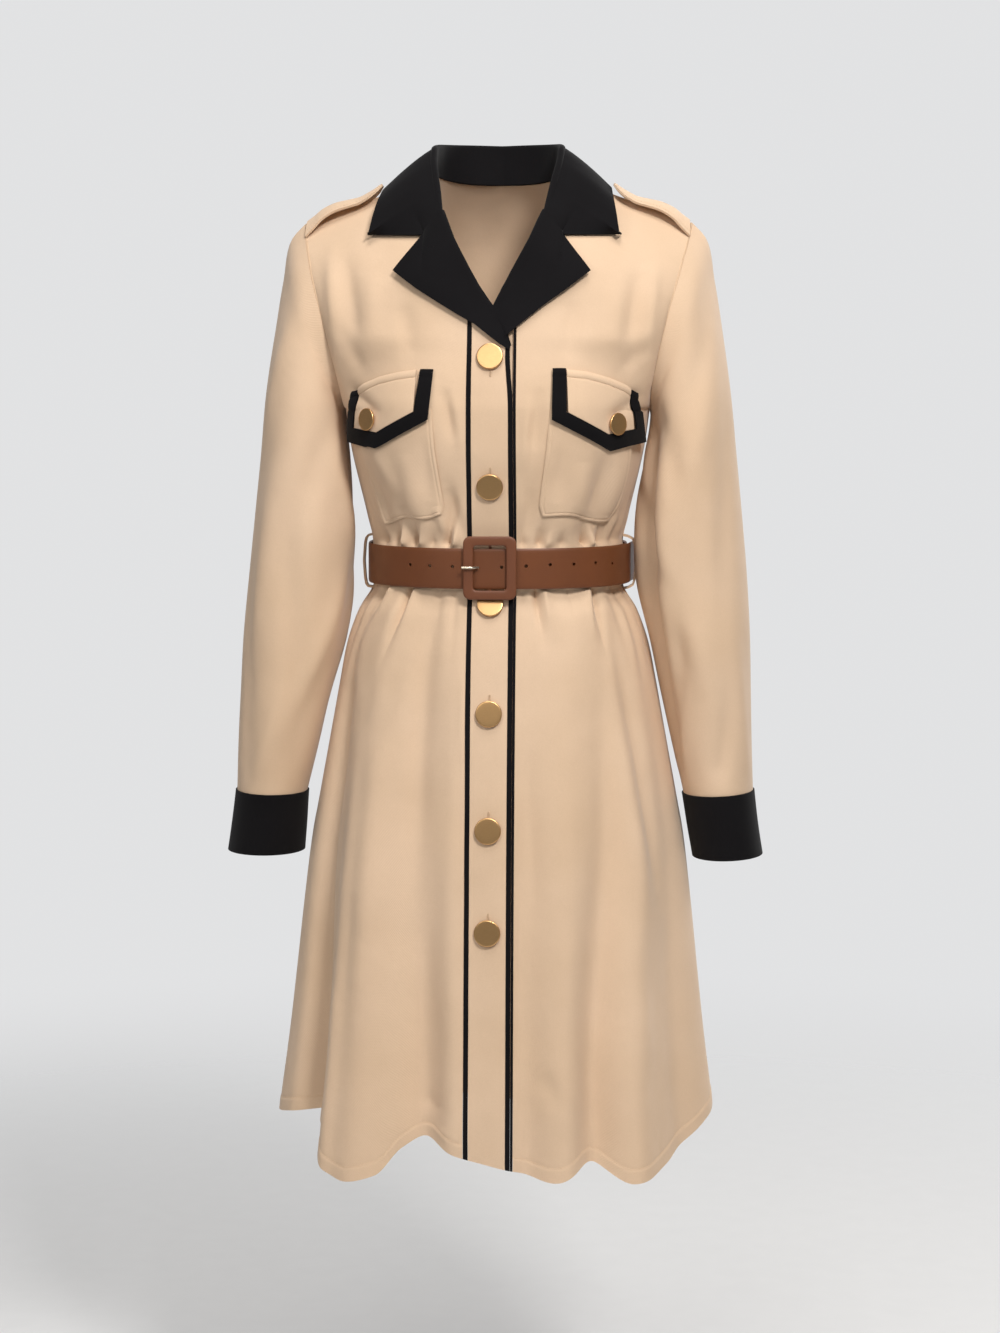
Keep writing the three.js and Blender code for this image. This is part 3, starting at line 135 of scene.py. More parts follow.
# creases over the back, between the shoulders and in the small of the back
backCreases = [
    (-132, -150, -92, -214, -2.6, 12), (134, -146, 88, -206, -2.8, 12), (-60, -250, -40, -330, -2.2, 12),
    (52, -246, 66, -336, -2.4, 12), (-112, -236, -84, -300, 2.2, 12), (108, -240, 90, -312, 2.0, 12),
    (4, -214, -6, -300, 1.8, 14), (-148, -120, -140, -200, 2.2, 10), (148, -120, 142, -204, 2.2, 10),
    (-30, -150, -14, -220, -1.6, 14), (36, -140, 22, -226, -1.4, 14),
]
# marks across the skirt where it has been folded or caught: x, z, x, z, depth, width
skirtCreases = [
    (-84, -470, -112, -560, -2.6, 9), (-60, -640, -74, -760, 2.2, 12), (-66, -872, -40, -884, -1.6, 7),
    (-52, -900, -34, -905, 1.4, 6), (52, -842, 66, -880, -2.0, 8), (36, -560, 44, -700, -2.2, 9),
    (120, -600, 134, -720, -2.4, 10), (140, -760, 146, -850, 2.2, 10), (-128, -680, -140, -800, -2.4, 10),
    (112, -402, 160, -700, -8.5, 8), (100, -440, 138, -690, 4.0, 12), (96, -820, 100, -905, -2.0, 9),
    (-24, -470, -25, -560, 1.8, 5), (30, -620, 29, -860, -1.8, 6), (-138, -500, -192, -1300, -11, 9),
    (-122, -500, -171, -1300, 3.2, 7), (-98, -480, -118, -760, 2.4, 12), (-60, -420, -72, -620, -2.6, 10),
]
fullness = [(76, -236, 7, 38, 55), (66, -325, 3, 14, 28), (100, -322, -2.5, 13, 30)]
rollLine = {"z": [0, -25, -42, -55, -70, -85, -100, -115, -128, -139],
            "x": [58, 55, 50, 46, 39, 31, 23, 14.5, 7, 1]}


def smoothCurve(table, name, value, key="z"):
    xs = np.array(table[key], float)
    ys = np.array(table[name], float)
    if xs[0] > xs[-1]:
        xs, ys = xs[::-1], ys[::-1]
    slope = np.diff(ys) / np.diff(xs)
    tangent = np.concatenate([slope[:1], np.zeros(len(xs) - 2), slope[-1:]])
    a, b = slope[:-1], slope[1:]
    same = a * b > 0
    tangent[1:-1] = np.where(same, 2 * a * b / np.where(same, a + b, 1), 0)
    v = np.clip(value, xs[0], xs[-1])
    i = np.clip(np.searchsorted(xs, v, side="right") - 1, 0, len(xs) - 2)
    step = xs[i + 1] - xs[i]
    t = (v - xs[i]) / step
    return ((2 * t**3 - 3 * t**2 + 1) * ys[i] + (t**3 - 2 * t**2 + t) * step * tangent[i]
            + (3 * t**2 - 2 * t**3) * ys[i + 1] + (t**3 - t**2) * step * tangent[i + 1])


def ease(v):
    t = np.clip(v, 0, 1)
    return t * t * (3 - 2 * t)


def blend(a, b, t):
    return a + (b - a) * t


def roofHeight(x):
    side = np.abs(x)
    out = shoulder["neckZ"] - (side - shoulder["neckX"]) * shoulder["slope"]
    inside = shoulder["neckZ"] + shoulder["neckRise"] * np.sqrt(np.clip(1 - (side / shoulder["neckX"])**2, 0, 1))
    return np.where(side > shoulder["neckX"], out, inside)


def rollOff(drop):
    return 1 - (1 - np.clip(drop / shoulder["rollDepth"], 0, 1))**shoulder["rollPower"]


def armholeDepth(z):
    low = np.clip((-150 - z) / (-150 - shoulder["underarmZ"]), 0, 1)
    return np.where(z <= shoulder["underarmZ"], 0, shoulder["armholeHalf"] * np.sqrt(1 - low**2.2))


def angleOf(x, z, side):
    half = smoothCurve(dressBody, "half", z)
    square = smoothCurve(dressBody, "square", z)
    theta = np.degrees(np.arcsin(np.clip(np.abs(x) / half, 0, 1)**(square / 2)))
    turn = theta if side == "front" else 180 - theta
    return np.where(x < 0, -turn, turn)


def apart(at, centre):
    return (at - centre + 180) % 360 - 180


def creaseDepth(x, z, ax, az, bx, bz, deep, wide):
    dx, dz = bx - ax, bz - az
    share = np.clip(((x - ax) * dx + (z - az) * dz) / (dx * dx + dz * dz), 0, 1)
    off = np.hypot(x - ax - share * dx, z - az - share * dz)
    return deep * np.sin(np.pi * np.clip(share, 0.03, 0.97))**0.7 * np.exp(-(off / wide)**2)


def tuckDepth(x, z, ax, az, bx, bz, deep, wide):
    """Sharpest at the belt, where it is deepest, and fading to nothing at its far end."""
    dx, dz = bx - ax, bz - az
    share = np.clip(((x - ax) * dx + (z - az) * dz) / (dx * dx + dz * dz), 0, 1)
    off = np.hypot(x - ax - share * dx, z - az - share * dz)
    return deep * (1 - ease(share))**1.1 * np.exp(-(off / (wide * 0.9 * (1 + 1.3 * share)))**1.4)


# faint rumples all over the cloth: waves across per mm, waves down per mm, shift, height in mm
rumples = [(0.019, 0.011, 0.4, 0.5), (-0.027, 0.016, 2.1, 0.42), (0.043, -0.021, 4.0, 0.3), (0.036, 0.034, 1.2, 0.26),
           (-0.071, 0.028, 3.3, 0.17), (0.085, 0.047, 5.2, 0.13), (0.131, -0.022, 0.9, 0.08)]


def rumpleDepth(x, z, side):
    turn = 0.0 if side == "front" else 1.7
    total = 0.0
    for across, down, shift, high in rumples:
        total = total + high * np.sin(across * x + down * z + shift + turn) * np.sin(1.3 * down * x - across * 0.6 * z + 2 * shift)
    ratio = np.clip(np.abs(x) / smoothCurve(dressBody, "half", z), 0, 1)
    return 1.5 * total * (1 - ratio**8)


def foldDepth(x, z, side):
    at = angleOf(x, z, side)
    total = np.zeros(np.broadcast(x, z).shape) + rumpleDepth(x, z, side)
    for waist, hem, start, deep, wide in skirtFolds:
        centre = blend(waist, hem, ease((-400 - z) / 520))
        grow = np.clip((start - z) / (start + 930), 0, 1.1)**0.8
        total = total + deep * grow * np.exp(-(apart(at, centre) / wide)**2)
    beltLow, beltHigh = -399, -357
    for top, end, length, deep, wide in waistFolds:
        down = (beltLow - z) / length
        centre = blend(top, end, np.clip(down, 0, 1))
        shape = np.clip(down * 5, 0, 1) * (1 - ease(down)) * (z < beltLow)
        total = total + deep * shape * np.exp(-(apart(at, centre) / (wide * (1 + 0.8 * np.clip(down, 0, 1))))**2)
    for centre, length, deep, wide in bodiceGathers:
        up = (z - beltHigh) / length
        shape = np.clip(up * 4, 0, 1) * (1 - ease(up)) * (z > beltHigh)
        total = total + deep * shape * np.exp(-(apart(at, centre) / (wide * (1 + np.clip(up, 0, 1))))**2)
    if side == "front":
        near = ease((z + 362) / 22)
        for fx, fz, deep, wide, high in fullness:
            total = total + deep * near * np.exp(-((np.abs(x) - fx) / wide)**2 - ((z - fz) / high)**2)
        for ax, az, bx, bz, deep, wide in bodiceCreases["right"] + bodiceCreases["left"]:
            total = total + near * creaseDepth(x, z, ax, az, bx, bz, deep * 1.4, wide * 0.85)
        for ax, az, bx, bz, deep, wide in skirtCreases:
            total = total + creaseDepth(x, z, ax, az, bx, bz, deep, wide)
        hold = ease((np.abs(z + 378) - 18.2) / 4.5)  # the belt itself presses the cloth flat
        for ax, az, bx, bz, deep, wide in beltTucks:
            total = total + hold * tuckDepth(x, z, ax, az, bx, bz, deep, wide)
    else:
        for ax, az, bx, bz, deep, wide in backCreases:
            total = total + creaseDepth(x, z, ax, az, bx, bz, deep * 1.4, wide)
    return total


def clothPoint(x, z, side="front"):
    x, z = np.broadcast_arrays(np.asarray(x, float), np.asarray(z, float))
    half = smoothCurve(dressBody, "half", z)
    square = smoothCurve(dressBody, "square", z)
    centre = smoothCurve(dressBody, side, z)
    ratio = np.clip(np.abs(x) / half, 0, 1)
    edge = np.where(z <= shoulder["underarmZ"], square,
                    blend(square, 1.15, ease((z - shoulder["underarmZ"]) / 125)))
    reach = np.where(z <= shoulder["underarmZ"], 8, blend(8, 0.01, ease((z - shoulder["underarmZ"]) / 70)))
    arm = armholeDepth(z) * ratio**reach
    depth = (arm + (centre - arm) * np.clip(1 - ratio**square, 0, 1)**(1 / edge)) * rollOff(roofHeight(x) - z)
    fold = foldDepth(x, z, side)
    nx, ny = x / half**2, depth / centre**2
    long = np.maximum(np.hypot(nx, ny), 1e-9)
    y = depth + fold * ny / long
    return np.stack([x + fold * nx / long, -y if side == "front" else y, z], -1)


def layPoint(x, z, out, side="front"):
    step = 1.5
    across = clothPoint(x + step, z, side) - clothPoint(x - step, z, side)
    up = clothPoint(x, z + step, side) - clothPoint(x, z - step, side)
    normal = np.cross(across, up)
    normal /= np.linalg.norm(normal, axis=-1, keepdims=True)
    if side == "back":
        normal = -normal
    return clothPoint(x, z, side) + normal * np.asarray(out)[..., None]


# ---- mesh helpers
def gridNormals(grid, closed=False):
    if closed:
        across = np.roll(grid, -1, 1) - np.roll(grid, 1, 1)
    else:
        across = np.concatenate([grid[:, 1:], grid[:, -1:]], 1) - np.concatenate([grid[:, :1], grid[:, :-1]], 1)
    up = np.concatenate([grid[1:], grid[-1:]], 0) - np.concatenate([grid[:1], grid[:-1]], 0)
    normal = np.cross(across, up)
    return normal / np.maximum(np.linalg.norm(normal, axis=-1, keepdims=True), 1e-9)


def makeObject(name, points, faces, material, uvs=None, smooth=True, sharp=50):
    mesh = bpy.data.meshes.new(name)
    mesh.from_pydata((np.asarray(points) * mm).tolist(), [], faces)
    if uvs is not None:
        layer = mesh.uv_layers.new(name="clothMap")
        corner = np.empty(len(mesh.loops), int)
        mesh.loops.foreach_get("vertex_index", corner)
        layer.data.foreach_set("uv", np.asarray(uvs)[corner].ravel())
    mesh.update()
    made = bpy.data.objects.new(name, mesh)
    bpy.context.scene.collection.objects.link(made)
    if smooth:
        mesh.shade_smooth()
        mesh.set_sharp_from_angle(angle=math.radians(sharp))
    mesh.materials.append(material)
    return made


def clothShell(name, grid, thick, material, flip=False, closed=False, turn=None):
    rows, cols = grid.shape[:2]
    normal = gridNormals(grid, closed)
    if flip:
        normal = -normal
    if turn is not None:
        normal = turn(normal)
        normal /= np.linalg.norm(normal, axis=-1, keepdims=True)
    inner = grid - normal * thick
    points = np.concatenate([grid.reshape(-1, 3), inner.reshape(-1, 3)])
    acrossLong = np.linalg.norm(np.diff(grid, axis=1), axis=-1).mean(0)
    upLong = np.linalg.norm(np.diff(grid, axis=0), axis=-1).mean(1)
    u = np.concatenate([[0], np.cumsum(acrossLong)]) * mm
    w = np.concatenate([[0], np.cumsum(upLong)]) * mm
    uv = np.stack(np.meshgrid(u, w), -1).reshape(-1, 2)
    uvs = np.concatenate([uv, uv])
    deep = rows * cols
    last = cols if closed else cols - 1
    i, j = np.meshgrid(np.arange(rows - 1), np.arange(last), indexing="ij")
    a = (i * cols + j).ravel()
    b = (i * cols + (j + 1) % cols).ravel()
    c, d = b + cols, a + cols
    faces = [np.stack([a, b, c, d], 1), np.stack([a, d, c, b], 1) + deep]
    j = np.arange(last)
    k = (j + 1) % cols
    top = (rows - 1) * cols
    faces.append(np.stack([j, j + deep, k + deep, k], 1))
    faces.append(np.stack([top + j, top + k, deep + top + k, deep + top + j], 1))
    if not closed:
        s = np.arange(rows - 1) * cols
        faces.append(np.stack([s, s + cols, s + cols + deep, s + deep], 1))
        s = s + cols - 1
        faces.append(np.stack([s, s + deep, s + cols + deep, s + cols], 1))
    faces = np.concatenate(faces)
    p = points[faces]
    volume = (np.einsum("ij,ij->i", p[:, 0], np.cross(p[:, 1], p[:, 2]))
              + np.einsum("ij,ij->i", p[:, 0], np.cross(p[:, 2], p[:, 3]))).sum()
    if volume < 0:
        faces = faces[:, ::-1]
    return makeObject(name, points, faces.tolist(), material, uvs)


def finishPiece(piece, nodes):
    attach(piece, "root")
    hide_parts(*nodes)
    return piece


def tubeAlong(name, path, radius, material, closed=False, sides=10):
    path = np.asarray(path, float)
    if closed:
        along = np.roll(path, -1, 0) - np.roll(path, 1, 0)
    else:
        along = np.gradient(path, axis=0)
    along /= np.maximum(np.linalg.norm(along, axis=1, keepdims=True), 1e-9)
    ref = np.array([0.31, 0.05, 0.95]) if abs(along[:, 2]).mean() < 0.6 else np.array([0.95, 0.31, 0.05])
    side = np.cross(ref, along)
    side /= np.linalg.norm(side, axis=1, keepdims=True)
    up = np.cross(along, side)
    a = np.arange(sides) / sides * 2 * math.pi
    grid = path[:, None] + (side[:, None] * np.cos(a)[None, :, None] + up[:, None] * np.sin(a)[None, :, None]) * radius
    rows = len(path)
    last = rows if closed else rows - 1
    faces = [(i * sides + j, i * sides + (j + 1) % sides, (i + 1) % rows * sides + (j + 1) % sides,
              (i + 1) % rows * sides + j) for i in range(last) for j in range(sides)]
    if not closed:
        faces += [tuple(range(sides))[::-1], tuple(range((rows - 1) * sides, rows * sides))]
    long = np.concatenate([[0], np.cumsum(np.linalg.norm(np.diff(path, axis=0), axis=1))]) * mm
    uvs = np.stack(np.broadcast_arrays(long[:, None], (a * radius * mm)[None]), -1).reshape(-1, 2)
    return makeObject(name, grid.reshape(-1, 3), faces, material, uvs)


def rideOnly(piece):
    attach(piece, "root")
    return piece


def outwardNormals(grid):
    normal = gridNormals(grid)
    way = np.sign((normal[..., :2] * grid[..., :2]).sum(-1, keepdims=True))
    return normal * np.where(way == 0, 1, way)


# ---- materials
def newMaterial(name):
    material = bpy.data.materials.new(name)
    material.use_nodes = True
    tree = material.node_tree
    tree.nodes.clear()
    out = tree.nodes.new("ShaderNodeOutputMaterial")
    shader = tree.nodes.new("ShaderNodeBsdfPrincipled")
    tree.links.new(shader.outputs[0], out.inputs["Surface"])
    return material, tree, shader


def addNode(tree, kind, values=None, **settings):
    node = tree.nodes.new(kind)
    for key, value in settings.items():
        setattr(node, key, value)
    for key, value in (values or {}).items():
        node.inputs[key].default_value = value
    return node


twillCloth = {
    "shine": 0.16,
    "light": (0.70, 0.508, 0.352, 1), "shade": (0.64, 0.455, 0.302, 1), "rough": 0.84,
    "sheen": 0.16, "pitch": 0.0011, "weave": 0.22, "slub": 0.2,
}
trimCloth = {
    "shine": 0.09,
    "light": (0.0068, 0.006, 0.0068, 1), "shade": (0.0035, 0.003, 0.0035, 1), "rough": 0.86,
    "sheen": 0.035, "pitch": 0.0011, "weave": 0.16, "slub": 0.06,
}


def wovenCloth(name, look):
    material, tree, shader = newMaterial(name)
    link = tree.links.new
    uv = addNode(tree, "ShaderNodeUVMap", uv_map="clothMap")
    place = addNode(tree, "ShaderNodeTexCoord")
    turnMap = addNode(tree, "ShaderNodeMapping", {"Rotation": (0, 0, math.radians(27))})
    link(uv.outputs[0], turnMap.inputs["Vector"])
    rib = addNode(tree, "ShaderNodeTexWave", {"Scale": 0.31 / look["pitch"], "Distortion": 0.4, "Detail": 1.0,
                                              "Detail Scale": 1.5}, bands_direction="X")
    link(turnMap.outputs[0], rib.inputs["Vector"])
    slub = addNode(tree, "ShaderNodeTexNoise", {"Scale": 900, "Detail": 2.0})
    link(place.outputs["Object"], slub.inputs["Vector"])
    cloud = addNode(tree, "ShaderNodeTexNoise", {"Scale": 7, "Detail": 5.0, "Roughness": 0.55})
    link(place.outputs["Object"], cloud.inputs["Vector"])
    ramp = addNode(tree, "ShaderNodeMapRange", {"From Min": 0.35, "From Max": 0.7})
    link(cloud.outputs[0], ramp.inputs["Value"])
    colour = addNode(tree, "ShaderNodeMix", {6: look["light"], 7: look["shade"]}, data_type="RGBA")
    link(ramp.outputs[0], colour.inputs[0])
    grain = addNode(tree, "ShaderNodeMix", {0: 0.1}, data_type="RGBA", blend_type="MULTIPLY")
    link(colour.outputs[2], grain.inputs[6])
    link(slub.outputs[0], grain.inputs[7])
    link(grain.outputs[2], shader.inputs["Base Color"])
    rough = addNode(tree, "ShaderNodeMapRange", {"To Min": look["rough"] - 0.06, "To Max": look["rough"] + 0.08})
    link(slub.outputs[0], rough.inputs["Value"])
    link(rough.outputs[0], shader.inputs["Roughness"])
    ribBump = addNode(tree, "ShaderNodeBump", {"Strength": look["weave"], "Distance": 0.0004})
    link(rib.outputs["Fac"], ribBump.inputs["Height"])
    soft = addNode(tree, "ShaderNodeTexNoise", {"Scale": 38, "Detail": 3.0, "Roughness": 0.5})
    link(place.outputs["Object"], soft.inputs["Vector"])
    softBump = addNode(tree, "ShaderNodeBump", {"Strength": look["slub"], "Distance": 0.004})
    link(soft.outputs[0], softBump.inputs["Height"])
    link(ribBump.outputs[0], softBump.inputs["Normal"])
    link(softBump.outputs[0], shader.inputs["Normal"])
    shader.inputs["Sheen Weight"].default_value = look["sheen"]
    shader.inputs["Sheen Roughness"].default_value = 0.5
    shader.inputs["Specular IOR Level"].default_value = look["shine"]
    return material


def beltLeather(name, light, dark, rough):
    material, tree, shader = newMaterial(name)
    link = tree.links.new
    place = addNode(tree, "ShaderNodeTexCoord")
    pore = addNode(tree, "ShaderNodeTexVoronoi", {"Scale": 700, "Randomness": 0.9})
    link(place.outputs["Object"], pore.inputs["Vector"])
    cloud = addNode(tree, "ShaderNodeTexNoise", {"Scale": 22, "Detail": 4.0})
    link(place.outputs["Object"], cloud.inputs["Vector"])
    colour = addNode(tree, "ShaderNodeMix", {6: light, 7: dark}, data_type="RGBA")
    link(cloud.outputs[0], colour.inputs[0])
    link(colour.outputs[2], shader.inputs["Base Color"])
    roughRange = addNode(tree, "ShaderNodeMapRange", {"To Min": rough - 0.08, "To Max": rough + 0.1})
    link(cloud.outputs[0], roughRange.inputs["Value"])
    link(roughRange.outputs[0], shader.inputs["Roughness"])
    bump = addNode(tree, "ShaderNodeBump", {"Strength": 0.16, "Distance": 0.0003})
    link(pore.outputs["Distance"], bump.inputs["Height"])
    link(bump.outputs[0], shader.inputs["Normal"])
    shader.inputs["Specular IOR Level"].default_value = 0.36
    return material


def brushedMetal(name, light, dark, rough):
    material, tree, shader = newMaterial(name)
    link = tree.links.new
    place = addNode(tree, "ShaderNodeTexCoord")
    stretch = addNode(tree, "ShaderNodeMapping", {"Scale": (300, 300, 3000)})
    link(place.outputs["Object"], stretch.inputs["Vector"])
    line = addNode(tree, "ShaderNodeTexNoise", {"Scale": 1.0, "Detail": 3.0})
    link(stretch.outputs[0], line.inputs["Vector"])
    colour = addNode(tree, "ShaderNodeMix", {6: light, 7: dark}, data_type="RGBA")
    link(line.outputs[0], colour.inputs[0])
    link(colour.outputs[2], shader.inputs["Base Color"])
    roughRange = addNode(tree, "ShaderNodeMapRange", {"To Min": rough - 0.07, "To Max": rough + 0.09})
    link(line.outputs[0], roughRange.inputs["Value"])
    link(roughRange.outputs[0], shader.inputs["Roughness"])
    bump = addNode(tree, "ShaderNodeBump", {"Strength": 0.08, "Distance": 0.0002})
    link(line.outputs[0], bump.inputs["Height"])
    link(bump.outputs[0], shader.inputs["Normal"])
    shader.inputs["Metallic"].default_value = 1.0
    return material


def sewingThread(name, light, dark):
    material, tree, shader = newMaterial(name)
    place = addNode(tree, "ShaderNodeTexCoord")
    twist = addNode(tree, "ShaderNodeTexNoise", {"Scale": 1400, "Detail": 2.0})
    tree.links.new(place.outputs["Object"], twist.inputs["Vector"])
    colour = addNode(tree, "ShaderNodeMix", {6: light, 7: dark}, data_type="RGBA")
    tree.links.new(twist.outputs[0], colour.inputs[0])
    tree.links.new(colour.outputs[2], shader.inputs["Base Color"])
    bump = addNode(tree, "ShaderNodeBump", {"Strength": 0.2, "Distance": 0.0002})
    tree.links.new(twist.outputs[0], bump.inputs["Height"])
    tree.links.new(bump.outputs[0], shader.inputs["Normal"])
    shader.inputs["Roughness"].default_value = 0.7
    return material


tanTwill = wovenCloth("tanTwill", twillCloth)
blackTwill = wovenCloth("blackTwill", trimCloth)
brownLeather = beltLeather("brownLeather", (0.165, 0.053, 0.018, 1), (0.115, 0.036, 0.012, 1), 0.44)
buckleLeather = beltLeather("buckleLeather", (0.165, 0.056, 0.024, 1), (0.12, 0.039, 0.016, 1), 0.46)
paleGold = brushedMetal("paleGold", (0.70, 0.43, 0.20, 1), (0.58, 0.34, 0.145, 1), 0.33)
prongMetal = brushedMetal("prongMetal", (0.7, 0.62, 0.5, 1), (0.6, 0.52, 0.4, 1), 0.25)
tanThread = sewingThread("tanThread", (0.72, 0.53, 0.36, 1), (0.56, 0.39, 0.24, 1))
seamThread = sewingThread("seamThread", (0.62, 0.44, 0.29, 1), (0.5, 0.345, 0.22, 1))
print("materials made")

# ---- sewing: short threads set one after another along a line, made with geometry nodes
stitchSet = {"pitch": 3.1, "long": 2.2, "thread": 0.3, "seed": 7}


def stitchNodes():
    group = bpy.data.node_groups.new("stitchRow", "GeometryNodeTree")
    sockets = {}
    for socket, kind in (("Geometry", "Geometry"), ("Pitch", "Float"), ("Stitch Length", "Float"),
                         ("Thread Radius", "Float"), ("Thread", "Material")):
        made = group.interface.new_socket(socket, in_out="INPUT", socket_type="NodeSocket" + kind)
        sockets[socket] = made.identifier
    group.interface.new_socket("Geometry", in_out="OUTPUT", socket_type="NodeSocketGeometry")
    entry = group.nodes.new("NodeGroupInput")
    leave = group.nodes.new("NodeGroupOutput")
    curve = group.nodes.new("GeometryNodeMeshToCurve")
    even = group.nodes.new("GeometryNodeResampleCurve")
    even.mode = "LENGTH"
    spread = group.nodes.new("GeometryNodeCurveToPoints")
    spread.mode = "EVALUATED"
    thread = group.nodes.new("GeometryNodeMeshUVSphere")
    thread.inputs["Segments"].default_value = 6
    thread.inputs["Rings"].default_value = 4
    thread.inputs["Radius"].default_value = 1.0
    halfLong = group.nodes.new("ShaderNodeMath")
    halfLong.operation = "MULTIPLY"
    halfLong.inputs[1].default_value = 0.5
    size = group.nodes.new("ShaderNodeCombineXYZ")
    vary = group.nodes.new("FunctionNodeRandomValue")
    vary.data_type = "FLOAT"
    vary.inputs[2].default_value = 0.88
    vary.inputs[3].default_value = 1.1
    vary.inputs["Seed"].default_value = stitchSet["seed"]
    shape = group.nodes.new("GeometryNodeTransform")
    put = group.nodes.new("GeometryNodeInstanceOnPoints")
    real = group.nodes.new("GeometryNodeRealizeInstances")
    paint = group.nodes.new("GeometryNodeSetMaterial")
    link = group.links.new
    link(entry.outputs["Geometry"], curve.inputs["Mesh"])
    link(curve.outputs["Curve"], even.inputs["Curve"])
    link(entry.outputs["Pitch"], even.inputs["Length"])
    link(even.outputs["Curve"], spread.inputs["Curve"])
    link(entry.outputs["Stitch Length"], halfLong.inputs[0])
    link(entry.outputs["Thread Radius"], size.inputs["X"])
    link(entry.outputs["Thread Radius"], size.inputs["Y"])
    link(halfLong.outputs[0], size.inputs["Z"])
    link(thread.outputs["Mesh"], shape.inputs["Geometry"])
    link(size.outputs[0], shape.inputs["Scale"])
    link(spread.outputs["Points"], put.inputs["Points"])
    link(shape.outputs[0], put.inputs["Instance"])
    link(spread.outputs["Rotation"], put.inputs["Rotation"])
    link(vary.outputs[1], put.inputs["Scale"])
    link(put.outputs[0], real.inputs[0])
    link(real.outputs[0], paint.inputs["Geometry"])
    link(entry.outputs["Thread"], paint.inputs["Material"])
    link(paint.outputs[0], leave.inputs[0])
    return group, sockets


stitchGroup, stitchSockets = stitchNodes()


def sewLines(name, lines, material=None):
    points, edges = [], []
    for line in lines:
        start = len(points)
        points += (np.asarray(line) * mm).tolist()
        edges += [(start + k, start + k + 1) for k in range(len(line) - 1)]
    mesh = bpy.data.meshes.new(name)
    mesh.from_pydata(points, edges, [])
    piece = bpy.data.objects.new(name, mesh)
    bpy.context.scene.collection.objects.link(piece)
    modifier = piece.modifiers.new("stitchRow", "NODES")
    modifier.node_group = stitchGroup
    modifier[stitchSockets["Pitch"]] = stitchSet["pitch"] * mm
    modifier[stitchSockets["Stitch Length"]] = stitchSet["long"] * mm
    modifier[stitchSockets["Thread Radius"]] = stitchSet["thread"] * mm
    modifier[stitchSockets["Thread"]] = material or tanThread
    around = bpy.context.evaluated_depsgraph_get()
    sewn = bpy.data.meshes.new_from_object(piece.evaluated_get(around), depsgraph=around)
    piece.modifiers.clear()
    piece.data = sewn
    sewn.shade_smooth()
    return rideOnly(piece)


def sewOnFront(name, lines, out, material=None):
    made = []
    for line in lines:
        line = np.asarray(line, float)
        long = np.concatenate([[0], np.cumsum(np.hypot(*np.diff(line[:, :2], axis=0).T))])
        at = np.linspace(0, long[-1], max(8, int(long[-1] / 2.5)))
        x, z = np.interp(at, long, line[:, 0]), np.interp(at, long, line[:, 1])
        lift = np.interp(at, long, line[:, 2]) if line.shape[1] > 2 else out
        made.append(layPoint(x, z, lift + 0 * x))
    return sewLines(name, made, material)

# ---- fronts and back
frontCut = {"cols": 132, "skirtRows": 104, "bodiceRows": 84, "upperRows": 50, "thick": 0.9, "waistBreak": -440,
            "skirtLong": 490, "hemDeep": 13, "hemRise": 0.55, "stitchDip": 0.6}
bandSize = {"half": 21.7, "piping": 4.3, "under": 2.4, "gap": 0.25}
upperPairs = {"share": [0, 0.028, 0.096, 0.2, 0.337, 0.506, 0.674, 0.815, 0.927, 1],
              "inner": [-230, -225, -213, -193, -165, -134, -104, -74, -40, -6],
              "outer": [-230, -225, -213, -195, -170, -140, -110, -85, -65, -52]}


def sideX(z, theta):
    half = smoothCurve(dressBody, "half", z)
    square = smoothCurve(dressBody, "square", z)
    return half * np.sin(theta)**(2 / square)


def startAngle(x, z):
    return np.radians(angleOf(np.asarray(x, float), z, "front"))


def armholeRows():
    share = np.linspace(0, 1, frontCut["upperRows"])**1.25
    return (smoothCurve(upperPairs, "inner", share, "share"), smoothCurve(upperPairs, "outer", share, "share"))


def hemShares():
    low = 1 - np.linspace(0, 20.8, 17) / frontCut["skirtLong"]  # the eleventh row lies on the stitch line
    return np.concatenate([low, np.linspace(low[-1], 0, frontCut["skirtRows"] + 1)[1:-1]])


def hemPoint(x, z, up, side):
    """The cloth near the hem, where it is turned up inside: standing off a little between the edge and the stitch line,
    pressed in along the stitches, with a slight wave at the edge.
    """
    rise = frontCut["hemRise"] * (1 - ease((up - frontCut["hemDeep"] + 1) / 3))
    dip = frontCut["stitchDip"] * np.exp(-((up - frontCut["hemDeep"]) / 1.3)**2)
    wave = 0.5 * np.sin(x * 0.11 + 1) * np.exp(-up / 9)
    if up > 24:
        return clothPoint(x, z, side)
    return layPoint(x, z, np.full(np.shape(x), rise - dip + wave), side)


